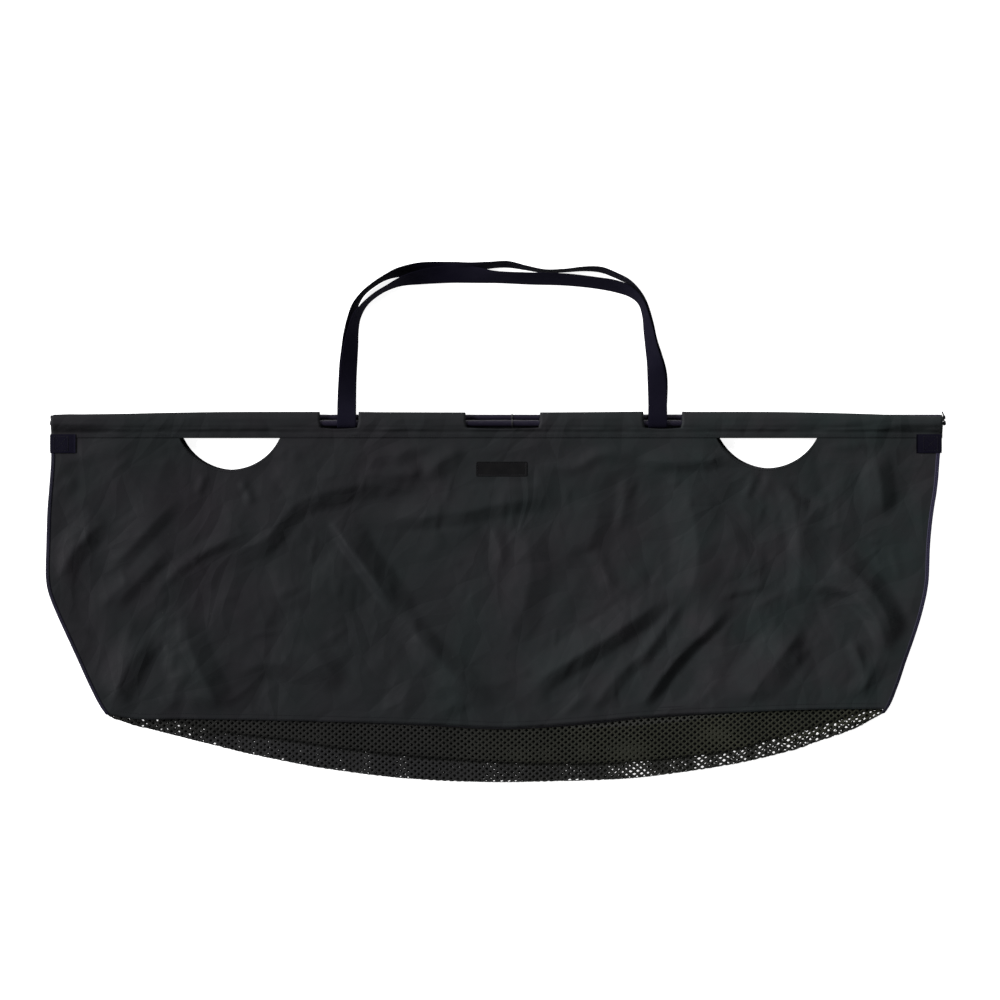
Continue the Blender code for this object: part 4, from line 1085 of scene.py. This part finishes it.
BACK_HANDLE = (
    (-1.000, 0.062, 0.00, 0.580), (-1.000, 0.098, 0.00, 0.430), (-1.000, 0.155, 0.06, 0.170),
    (-0.998, 0.250, 0.20, 0.015), (-0.993, 0.365, 0.26, 0.007), (-0.986, 0.466, 0.38, 0.007),
    (-0.980, 0.568, 0.54, 0.007), (-0.968, 0.670, 0.72, 0.007), (-0.945, 0.749, 0.80, 0.007),
    (-0.896, 0.822, 0.87, 0.007), (-0.825, 0.881, 0.87, 0.007), (-0.748, 0.927, 0.83, 0.007),
    (-0.658, 0.959, 0.68, 0.007), (-0.523, 0.978, 0.50, 0.007), (-0.368, 0.973, 0.32, 0.010),
    (-0.214, 0.987, 0.64, 0.010), (-0.079, 1.003, 0.79, 0.007), (0.037, 1.008, 0.80, 0.007),
    (0.153, 0.986, 0.87, 0.007), (0.276, 0.964, 0.90, 0.007), (0.404, 0.969, 0.91, 0.007),
    (0.533, 0.980, 0.87, 0.007), (0.636, 0.974, 0.83, 0.007), (0.726, 0.941, 0.84, 0.007),
    (0.810, 0.898, 0.85, 0.007), (0.874, 0.835, 0.86, 0.007), (0.920, 0.759, 0.87, 0.007),
    (0.952, 0.644, 0.82, 0.007), (0.963, 0.524, 0.62, 0.007), (0.984, 0.416, 0.40, 0.007),
    (1.002, 0.320, 0.18, 0.007), (1.006, 0.231, 0.04, 0.025), (1.003, 0.155, 0.00, 0.180),
    (1.000, 0.098, 0.00, 0.430), (1.000, 0.062, 0.00, 0.580),
)


def band_line(stations, steps):
    """Centre, lean and lift along a handle's smoothed stations, as arrays."""
    stations = np.array(stations)
    order = np.arange(len(stations))
    at = np.linspace(0, len(stations) - 1, steps * (len(stations) - 1) + 1)
    across, up, lean, lift = (curve_at(at, order, column) for column in stations.T)
    centre = points_at(ARCH_X + across * ARCH_HALF_SPAN, FRONT_POLE[0] + up * ARCH_RISE)
    return centre, lean * math.pi / 2, WEBBING_WALL / 2 + lift * ARCH_LIFT


def unit(vectors):
    """The same directions, each with a length of one."""
    return vectors / np.linalg.norm(vectors, axis=1)[:, None]


def end_caps(rings, sides):
    """The two faces that close the ends of a tube of rings."""
    ring = np.arange(sides)
    return np.stack([ring[::-1], (rings - 1) * sides + ring])


def band_mesh(name, middle, out, up, width, wall, finish):
    """A closed band: at each place along it a flat section with rounded edges, spread
    along the out direction and thick along up. UV holds metres along and across."""
    turn = np.linspace(0, 2 * math.pi, BAND_SIDES, endpoint=False)
    flat = np.sign(np.cos(turn)) * np.abs(np.cos(turn)) ** BAND_ROUND * width / 2
    thick = np.sign(np.sin(turn)) * np.abs(np.sin(turn)) ** BAND_ROUND * wall / 2
    points = (
        middle[:, None]
        + out[:, None] * flat[None, :, None]
        + up[:, None] * thick[None, :, None]
    )
    sides = grid_faces(len(middle), BAND_SIDES, around=True)[:, ::-1]
    return mesh_piece(name, points, [sides, end_caps(len(middle), BAND_SIDES)], finish,
                      uv=points_at(run_along(middle)[:, None], flat[None]))


webbing_finish, tree, shader, place = new_finish("handle_webbing", 0.8, Specular_IOR_Level=0.01)
cloth_place = add_node(tree, "UVMap", uv_map="cloth").outputs["UV"]
shade = tinted(tree, place, 14.0, (0.0062, 0.0056, 0.0118), (0.0094, 0.0086, 0.0158))
ribs = use_effect(tree, WEAVE, {"Place": cloth_place, "Pitch": 0.0016})
woven(tree, shader, ribs, (0.002, 0.002, 0.0035), shade["Colour"], 0.6, 0.0004)


def handle_band(name, stations, finish, wrap=None):
    """One handle: its stations, with a wrap round the pole at both feet on demand."""
    middle, lean, lift = band_line(stations, 7)
    ahead = unit(np.gradient(middle, axis=0))
    outward = points_at(-ahead[:, 1], ahead[:, 0], 0.0)
    out = outward * np.cos(lean)[:, None]
    out[:, 2] = np.sin(lean)
    centre = points_at(*middle.T, lift + WEBBING_WIDTH / 2 * np.sin(lean))
    if wrap:
        (pole_y, pole_z), radius, start, stop = wrap
        turn = np.radians(np.linspace(start, stop, WRAP_STEPS))
        ring_y, ring_z = pole_y + radius * np.cos(turn), pole_z + radius * np.sin(turn)
        left = points_at(centre[0, 0], ring_y, ring_z)
        right = points_at(centre[-1, 0], ring_y, ring_z)[::-1]
        centre = np.concatenate([left[:-1], centre[1:-1], right[1:]])
        foot = (WRAP_STEPS - 1, 1)
        out = np.concatenate([np.tile(out[0], foot), out[1:-1], np.tile(out[-1], foot)])
    up = unit(np.cross(out, unit(np.gradient(centre, axis=0))))
    return band_mesh(name, centre, out, up, WEBBING_WIDTH, WEBBING_WALL, finish)


front_strap = handle_band(
    "front_strap", FRONT_HANDLE, webbing_finish, (FRONT_POLE, WRAP_RADIUS, 262, 88)
)
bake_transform(front_strap)
belongs(front_strap, None, "webbing", "front_handle")
back_strap = handle_band("back_strap", BACK_HANDLE, webbing_finish)
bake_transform(back_strap)
belongs(back_strap, None, "webbing", "back_handle")

# Foot loops
# A short loop of the same webbing round each pole at each foot, which the handle is
# sewn to and which slides on the pole.
FOOT_RADIUS = 0.0050
FOOT_WIDTH, FOOT_WALL = 0.0254, 0.0011
RING_STEPS = 41
RING_CREEP = 0.00002


def band_ring(name, x, pole, radius, width, wall, finish):
    """A band bent into a closed ring round a pole, a little overlapped where it is sewn."""
    turn = np.linspace(0, 2 * math.pi, RING_STEPS)
    away = points_at(0.0, np.cos(turn), np.sin(turn))
    centre = away * (radius + RING_CREEP * np.arange(RING_STEPS))[:, None] + (x, *pole)
    out = np.tile((1.0, 0, 0), (RING_STEPS, 1))
    return band_mesh(name, centre, out, -away, width, wall, finish)


for panel, pole in (("front", FRONT_POLE), ("back", BACK_POLE)):
    for side, x in (("left", LEFT_FOOT_X), ("right", RIGHT_FOOT_X)):
        loop = band_ring(f"{panel}_{side}_strap_loop", x, pole, FOOT_RADIUS, FOOT_WIDTH, FOOT_WALL,
                         webbing_finish)
        belongs(loop, panel, "webbing", f"{panel}_handle_{side}_loop")

# Seam tapes
# Thin woven tape in the seams between the net and each panel, which keeps the seams from
# stretching. The front one is drawn out a little below the hem, more in the middle, as a painted
# shadow under the hem's edge.
TAPE_LEVELS = (("front", FRONT_SEAM, 0.00840), ("back", BACK_SEAM, 0.0029))
TAPE_LEFT, TAPE_RIGHT = 118, 874
TAPE_REACH = 0.0114
TAPE_ABOVE = 0.0004
TAPE_WALL = 0.0003

tape_finish, tree, shader, place = new_finish("seam_tape", 0.6, Specular_IOR_Level=0.2)
ribs = use_effect(tree, WEAVE, {"Place": place, "Pitch": 0.0012})
shade = tinted(tree, place, 30.0, (0.0060, 0.0060, 0.0078), (0.0085, 0.0083, 0.0110))
woven(tree, shader, ribs, (0.004, 0.004, 0.006), shade["Colour"], 0.4, 0.0003)

for panel, seam, z in TAPE_LEVELS:
    across = np.linspace(column_x(TAPE_LEFT), column_x(TAPE_RIGHT), 150)
    # The front tape's strip below the hem is a dark band put where the hem's shadow falls. It is
    # widest in the middle.
    shadow_middle = rise(pixel_column(across), 300, 470) * (1 - rise(pixel_column(across), 600, 790))
    show = (0.0005 + 0.0021 * shadow_middle) * (panel == "front")
    step = np.linspace(0, 1, 6)[:, None] * (TAPE_REACH + show) + TAPE_ABOVE - show
    x, y = np.broadcast_arrays(across, line_y(across, seam) + step)
    z = z + 0.00004 * np.sin(700 * x)
    tape = sheet_piece(f"{panel}_tape", x, y, z, tape_finish, wall=TAPE_WALL)
    if panel == "front":
        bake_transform(tape)
        belongs(tape, None, "tape", "front_seam_tape")
    else:
        belongs(tape, "back", "tape", "back_seam_tape")

# Side edgings
# The panels' slanting sides are bound: a narrow blue-black tape is folded round each raw
# edge and sewn through.
SIDES = (("left", left_side, 1), ("right", right_side, -1))
EDGING_WIDTH = 0.0052
EDGING_WALL = 0.00028
EDGING_FEET = {1: 714.5, -1: 713}
EDGING_IN = np.array([1.0, 0.7, 0.35, 0.09, 0.0, 0.09, 0.35, 0.7, 1.0]) * EDGING_WIDTH
EDGING_UP = np.array([0.42, 0.58, 0.60, 0.50, 0.0, -0.50, -0.60, -0.58, -0.42]) * MM


def edging(name, side_line, inward, height, finish):
    """Tape folded round a side: rows go down the edge, columns from the inner rim above
    the cloth, round the edge and back to the inner rim below."""
    y = np.linspace(SEAM_Y - 0.0095, row_y(EDGING_FEET[inward]), 90)[:, None]
    x = side_line(y) + inward * EDGING_IN
    z = height(side_line(y) + inward * np.maximum(EDGING_IN, 0.0014), y) + EDGING_UP
    return sheet_piece(name, x, y, z, finish, flip=inward < 0, wall=EDGING_WALL)


edging_finish, tree, shader, place = new_finish(
    "edging_tape", 0.5, Specular_IOR_Level=0.12, Sheen_Weight=0.06, Sheen_Roughness=0.4
)
ribs = use_effect(tree, WEAVE, {"Place": place, "Pitch": 0.0011})
shade = tinted(tree, place, 20.0, (0.0085, 0.0080, 0.0165), (0.0130, 0.0115, 0.0260))
# The right edging is painted a lighter lilac, a painted highlight on its lit edge.
x_share = graded(tree, part_of(tree, place, "X"), (0.555, 0.585))
dye_and_painted_light = mix_colour(tree, x_share, shade["Colour"], (0.034, 0.030, 0.062, 1))
woven(tree, shader, ribs, (0.004, 0.004, 0.008), dye_and_painted_light, 0.5, 0.0003)

for panel, height in (("front", front_height), ("back", back_height)):
    for side, line, inward in SIDES:
        tape = edging(f"{panel}_{side}_edging", line, inward, height, edging_finish)
        if panel == "front":
            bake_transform(tape)
            belongs(tape, None, "tape", f"front_{side}_binding")
        else:
            belongs(tape, "back", "tape", f"back_{side}_binding")

# Closing tabs
# Webbing folded over each side under the sleeve, with hook pile on the faces that meet:
# pressed together, they close the sling's ends.
TAB_INNER = 0.034
TAB_WALL = 0.0011
TAB_RUN = 12
PILE_OUTER, PILE_INNER, PILE_HALF = 0.003, TAB_INNER - 0.002, 0.0115
PILE_WALL = 0.0007
PILE_TUFT = 0.00012
# For each panel, the levels of the upper and the lower leg, and of the pile.
TAB_LEVELS = {"front": (0.01105, 0.00770, 0.00655), "back": (0.00405, 0.00070, 0.00520)}

pile_finish, tree, shader, place = new_finish("hook_pile", 0.8, Specular_IOR_Level=0.15)
tufts = add_node(tree, "TexVoronoi", {"Vector": place, "Scale": 1400.0})
shade = two_shades(tree, tufts.outputs["Distance"], (0.022, 0.022, 0.026, 1),
                   (0.004, 0.004, 0.005, 1))
feed(tree, shade, shader, "Base Color")
relief(tree, shader, tufts.outputs["Distance"], 0.8, 0.0006)

for panel, (above, below, pile_z) in TAB_LEVELS.items():
    for side, line, inward in SIDES:
        edge = float(line(TAB_MIDDLE_Y)) - inward * (0.0006 if panel == "front" else 0.0)
        radius = (above - below) / 2
        turn = np.linspace(math.pi / 2, -math.pi / 2, 13)
        run = np.linspace(edge + inward * TAB_INNER, edge + inward * radius, TAB_RUN)
        x = np.concatenate([run, edge + inward * (radius - radius * np.cos(turn[1:-1])), run[::-1]])
        z = np.concatenate([np.full(TAB_RUN, above), below + radius + radius * np.sin(turn[1:-1]),
                            np.full(TAB_RUN, below)])
        z[:TAB_RUN] -= 0.0004 * rise(np.abs(run - edge), 0.020, TAB_INNER)
        middle = points_at(x, TAB_MIDDLE_Y, z)
        out = np.tile((0, 1.0, 0), (len(x), 1))
        tab = band_mesh(f"{panel}_{side}_strap_tab", middle, out,
                        np.cross(out, unit(np.gradient(middle, axis=0))),
                        WEBBING_WIDTH, TAB_WALL, webbing_finish)
        belongs(tab, panel, "webbing", f"{panel}_{side}_tab")
        across = np.linspace(PILE_OUTER, PILE_INNER, 40)
        up = np.linspace(-PILE_HALF, PILE_HALF, 30)[:, None]
        rim = np.minimum(np.minimum(across - PILE_OUTER, PILE_INNER - across),
                         PILE_HALF - np.abs(up))
        tuft = np.random.default_rng(5).uniform(-1, 1, rim.shape) * PILE_TUFT
        level = pile_z + (np.sign(pile_z - below) * 0.0003 + tuft) * rise(rim, 0, 0.0008)
        pad = sheet_piece(f"{panel}_{side}_tab_pile", edge + inward * across, TAB_MIDDLE_Y + up,
                          level, pile_finish, wall=PILE_WALL)
        belongs(pad, panel, "webbing")

# Label
# A bare, blank patch of moulded rubber with a raised rim, sewn flat on the front panel.
LABEL_SIZE = (0.069, 0.020)
LABEL_CORNER = 0.0022
LABEL_SEAM = 0.0022
LABEL_FLOOR = 0.0005
# Rings of the patch from its foot over the rim to the middle: how far in, and how high.
LABEL_RINGS = ((0, -0.0002), (0, 0.0005), (0.0003, 0.0008), (0.0011, 0.0008), (0.0014, 0.0005),
               (0.003, 0.0005), (0.006, 0.0005), (0.0092, 0.0005))


def rounded_outline(width, height, corner, inset, steps):
    """Points round a rectangle with rounded corners, drawn in by the inset."""
    turn = np.linspace(0, math.pi / 2, steps)
    radius = max(corner - inset, 0.0002)
    reach = np.array([width / 2, height / 2]) - inset - radius
    parts = []
    for quarter, (sx, sy) in enumerate(((1, 1), (-1, 1), (-1, -1), (1, -1))):
        angle = turn + quarter * math.pi / 2
        parts.append(reach * (sx, sy) + radius * points_at(np.cos(angle), np.sin(angle)))
    return np.concatenate(parts)


def on_label(inset, up):
    """A ring round the label, at a height above the front cloth."""
    ring = rounded_outline(*LABEL_SIZE, LABEL_CORNER, inset, 10) + LABEL_MIDDLE
    return points_at(*ring.T, front_height(*ring.T, small=False) + CLOTH_WALL / 2 + up)


label_finish, tree, shader, place = new_finish("label_rubber", 0.6, Specular_IOR_Level=0.1)
shade = tinted(tree, place, 60.0, (0.0036, 0.0036, 0.0042), (0.0060, 0.0058, 0.0062))
feed(tree, shade["Colour"], shader, "Base Color")
grit = add_node(tree, "TexNoise", {"Vector": place, "Scale": 1500.0, "Detail": 2.0})
relief(tree, shader, grit.outputs["Fac"], 0.25, 0.0002)

rings = np.stack([on_label(inset, up) for inset, up in LABEL_RINGS])
last = (len(rings) - 1) * rings.shape[1]
label_patch = mesh_piece(
    "label_patch", rings,
    [grid_faces(*rings.shape[:2], around=True), last + np.arange(rings.shape[1])[None]],
    label_finish,
)
belongs(label_patch, "front", "label", "label")

# Poles
# Each pole is two dark satin tubes on one elastic cord, joined over a ferrule near
# the middle, with a cap at each end, as the CAD model has them. A thin ring that sits on
# the ferrule fills the joint.
tube_finish, tree, shader, place = new_finish("pole_anodised", 0.42, Metallic=0.2,
                                              Specular_IOR_Level=0.18)
shade = tinted(tree, place, 9.0, (0.0085, 0.0070, 0.0150), (0.0135, 0.0112, 0.0230))
parts = add_node(tree, "SeparateXYZ", {0: place}).outputs
drawn = add_node(tree, "CombineXYZ", {"X": math_node(tree, "MULTIPLY", parts["X"], 0.03),
                                      "Y": parts["Y"], "Z": parts["Z"]})
lines = add_node(tree, "TexNoise", {"Vector": drawn.outputs[0], "Scale": 2600.0, "Detail": 3.0})
worn = graded(tree, lines.outputs["Fac"], (0.62, 0.78), (0.0, 0.5))
feed(tree, mix_colour(tree, worn, shade["Colour"], (0.06, 0.055, 0.075, 1)), shader, "Base Color")
feed(tree, graded(tree, lines.outputs["Fac"], (0.0, 1.0), (0.32, 0.50)), shader, "Roughness")

metal_finish, tree, shader, place = new_finish("ferrule_metal", 0.45, Metallic=0.6)
scratch = add_node(tree, "TexNoise", {"Vector": place, "Scale": 900.0, "Detail": 4.0})
shade = two_shades(tree, scratch.outputs["Fac"], (0.030, 0.030, 0.034, 1),
                   (0.060, 0.060, 0.065, 1))
feed(tree, shade, shader, "Base Color")

cap_finish, tree, shader, place = new_finish("cap_plastic", 0.45)
shade = tinted(tree, place, 120.0, (0.0075, 0.0075, 0.008), (0.014, 0.0135, 0.014))
feed(tree, shade["Colour"], shader, "Base Color")
grit = add_node(tree, "TexNoise", {"Vector": place, "Scale": 1800.0})
relief(tree, shader, grit.outputs["Fac"], 0.2, 0.0002)

for panel in ("front", "back"):
    for part, finish in (
        ("tube_left", tube_finish), ("tube_right", tube_finish), ("ferrule", metal_finish),
        ("cap_left", cap_finish), ("cap_right", cap_finish),
    ):
        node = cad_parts[f"{panel}_pole_{part}"]
        node.data.materials.clear()
        node.data.materials.append(finish)

SPLIT_X = MIDDLE_X + 0.0150
STOP_RADIUS, STOP_WIDTH, STOP_WALL = 0.00458, 0.0014, 0.0008
for panel, pole in (("front", FRONT_POLE), ("back", BACK_POLE)):
    ring = band_ring(f"{panel}_pole_stop_ring", SPLIT_X, pole, STOP_RADIUS, STOP_WIDTH, STOP_WALL,
                     cap_finish)
    belongs(ring, panel, "cap")

# Elastic cords and knots
# An elastic cord runs through each pole and is knotted outside both end caps; the right
# knots have a short tail. The cord stretches when a pole is pulled apart.
CORD_RADIUS = 0.0013
CORD_STEPS = 90
CORD_SIDES = 10
LEFT_KNOT_X, RIGHT_KNOT_X = -0.59990, 0.60680
KNOT_TUCK = 0.0005
KNOT_SIZE = (0.0036, 0.00215, 0.00215)
KNOT_RADIUS = 0.00105
TAIL_RUN, TAIL_BEND = (0.0010, 0.0022, 0.0005), (-0.0035, 0.0055, 0.0010)


def tube_mesh(name, line, radius, sides, finish):
    """A closed round tube along a line of points: each ring is square to the line, and is
    turned from X, or from Z where the line runs along X. UV holds metres along and round."""
    ahead = unit(np.gradient(line, axis=0))
    first = unit(
        np.cross(ahead, np.where(np.abs(ahead[:, :1]) < 0.8, (1.0, 0, 0), (0, 0, 1.0)))
    )
    second = np.cross(ahead, first)
    turn = np.linspace(0, 2 * math.pi, sides, endpoint=False)
    points = line[:, None] + radius * (
        first[:, None] * np.cos(turn)[None, :, None] + second[:, None] * np.sin(turn)[None, :, None]
    )
    faces = [grid_faces(len(line), sides, around=True), end_caps(len(line), sides)]
    return mesh_piece(name, points, faces, finish,
                      uv=points_at(run_along(line)[:, None], turn[None] * radius))


cord_finish, tree, shader, place = new_finish("elastic_cord", 0.6, Specular_IOR_Level=0.25)
braid = use_effect(tree, WEAVE, {"Place": add_node(tree, "UVMap", uv_map="cloth").outputs["UV"],
                                 "Pitch": 0.0009})
shade = tinted(tree, place, 90.0, (0.010, 0.010, 0.013), (0.018, 0.017, 0.022))
woven(tree, shader, braid, (0.004, 0.004, 0.005), shade["Colour"], 0.6, 0.0003)

for panel, (pole_y, pole_z) in (("front", FRONT_POLE), ("back", BACK_POLE)):
    x = np.linspace(LEFT_KNOT_X + KNOT_TUCK, RIGHT_KNOT_X - KNOT_TUCK, CORD_STEPS)
    line = points_at(x, pole_y, pole_z)
    elastic = tube_mesh(f"{panel}_elastic", line, CORD_RADIUS, CORD_SIDES, cord_finish)
    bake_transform(elastic)
    belongs(elastic, None, "cord", f"{panel}_pole_shock_cord")
    for side, x, outward in (("left", LEFT_KNOT_X, -1), ("right", RIGHT_KNOT_X, 1)):
        t = np.linspace(0, 2 * math.pi, 61)
        lobes = points_at(0.30 * outward * np.sin(3 * t), (np.sin(t) + 2 * np.sin(2 * t)) / 3,
                          (np.cos(t) - 2 * np.cos(2 * t)) / 3)
        line = lobes * KNOT_SIZE + (x, pole_y, pole_z)
        if side == "right":
            tail = np.linspace(0, 1, 16)[1:, None]
            line = np.concatenate([line, line[-1] + tail * TAIL_RUN + tail**2 * TAIL_BEND])
        body = panel if side == "left" else f"{panel}_pole_end"
        knot = tube_mesh(f"{panel}_{side}_knot_cord", line, KNOT_RADIUS, CORD_SIDES, cord_finish)
        belongs(knot, body, "cord", f"{panel}_pole_knot_{side}")

# Stitching
# Lock stitches in dark thread: two rows along the front sleeve and the net's seam, one on
# the front edgings, hand holes and label, and boxes with a cross on the tabs.
STITCH_PITCH = 0.0034
STITCH_LENGTH = 0.0027
THREAD_RADIUS = 0.00026
# Five rings of one stitch: how far along its half length, how high and how thick.
STITCH_RINGS = np.array([(-1, -0.7, 0.35), (-0.72, 0.35, 0.9), (0, 0.75, 1), (0.72, 0.35, 0.9),
                         (1, -0.7, 0.35)])
SEAM_COLUMNS, SEAM_FOOT = (112, 880), 712
HEM_ROWS = (0.0016, 0.0042)
HEM_RISE = 0.00055
NET_ROWS_IN = (0.0022, 0.0075)
HOLE_ROW = 0.0034
EDGING_ROW, EDGING_RISE = 0.0040, 0.00065
BOX_IN, BOX_HALF = 0.014, 0.0095
BOX_LEVELS = (("front", 0.01163), ("back", 0.00463))

thread_finish, tree, shader, place = new_finish("sewing_thread", 0.6, Specular_IOR_Level=0.12)
shade = tinted(tree, place, 40.0, (0.0085, 0.0085, 0.0115), (0.0135, 0.0130, 0.0165))
feed(tree, shade["Colour"], shader, "Base Color")
parts = add_node(tree, "SeparateXYZ", {0: place}).outputs
both = math_node(tree, "MULTIPLY", math_node(tree, "ADD", parts["X"], parts["Y"]), 9000.0)
relief(tree, shader, math_node(tree, "SINE", both), 0.4, 0.0001)


def spread_out(line, pitch):
    """Points at an even pitch along a line, with the line's direction at each."""
    run = run_along(line)
    at = np.arange(pitch / 2, run[-1], pitch)
    centre, after, before = (
        points_at(*(np.interp(at + step, run, axis) for axis in line.T))
        for step in (0, pitch / 4, -pitch / 4)
    )
    return centre, unit(after - before)


def sew(name, lines):
    """All the stitches of some seams as one mesh: each is a short thread that rises from
    the cloth and dives back into it, six-sided and thinner at its ends."""
    centre, ahead = (np.concatenate(part) for part in zip(*(spread_out(line, STITCH_PITCH)
                                                            for line in lines)))
    aside = unit(np.cross(ahead, (0, 0, 1.0)))
    up = np.cross(aside, ahead)
    share, arch, thick = STITCH_RINGS.T
    rings, sides = len(STITCH_RINGS), 6
    turn = np.linspace(0, 2 * math.pi, sides, endpoint=False)
    lift = (arch[:, None] + thick[:, None] * np.sin(turn)) * THREAD_RADIUS
    wide = thick[:, None] * np.cos(turn) * THREAD_RADIUS
    points = (
        centre[:, None, None]
        + ahead[:, None, None] * (share * STITCH_LENGTH / 2)[None, :, None, None]
        + aside[:, None, None] * wide[None, :, :, None]
        + up[:, None, None] * lift[None, :, :, None]
    )
    one = grid_faces(rings, sides, around=True)
    first = np.arange(len(centre))[:, None, None] * rings * sides
    faces = (first + one[None]).reshape(-1, 4)
    return mesh_piece(name, points, [faces], thread_finish)


def on_front(x, y, extra=0.0):
    """A sewing line laid on top of the front cloth."""
    return points_at(x, y, front_height(x, y) + CLOTH_WALL / 2 + extra)


x = np.linspace(LEFT_END + 0.004, RIGHT_END - 0.004, 500)
z = FRONT_Z + hem_lift(x) + HEM_RISE + CLOTH_WALL / 2
rows = [points_at(x, SEAM_Y + hem, z) for hem in HEM_ROWS]
sleeve_stitches = sew("front_sleeve_stitches", rows)
belongs(sleeve_stitches, "front", "cord")

x = np.linspace(*(column_x(column) for column in SEAM_COLUMNS), 500)
rows = [on_front(x, line_y(x, FRONT_SEAM) + inset) for inset in NET_ROWS_IN]
for middle_x in (LEFT_HOLE_X, RIGHT_HOLE_X):
    around = middle_x + np.linspace(-0.95, 0.95, 90) * HOLE_HALF
    rows.append(on_front(around, hole_edge(around, middle_x) - HOLE_ROW))
y = np.linspace(TAB_MIDDLE_Y - 0.014, row_y(SEAM_FOOT), 300)
for _, line, inward in SIDES:
    rows.append(on_front(line(y) + inward * EDGING_ROW, y, EDGING_RISE))
seam_stitches = sew("front_cloth_stitches", rows)
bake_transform(seam_stitches)
belongs(seam_stitches, None, "cord")

ring = on_label(LABEL_SEAM, LABEL_FLOOR)
label_stitches = sew("label_stitches", [np.concatenate([ring, ring[:1]])])
belongs(label_stitches, "front", "cord")


def box_seam(middle_x, middle_y, half_x, half_y, z):
    """A square seam with a cross in it, flat at one height."""
    corners = np.array([(-1, -1), (1, -1), (1, 1), (-1, 1), (-1, -1), (1, 1), (1, -1), (-1, 1)])
    at = np.linspace(0, 7, 29)
    across, up = (np.interp(at, np.arange(8), axis) for axis in corners.T)
    return points_at(middle_x + across * half_x, middle_y + up * half_y, z)


for panel, level in BOX_LEVELS:
    rows = []
    for _, line, inward in SIDES:
        middle = float(line(TAB_MIDDLE_Y)) + inward * BOX_IN
        rows.append(box_seam(middle, TAB_MIDDLE_Y, BOX_HALF, BOX_HALF, level))
    belongs(sew(f"{panel}_tab_stitches", rows), panel, "cord")
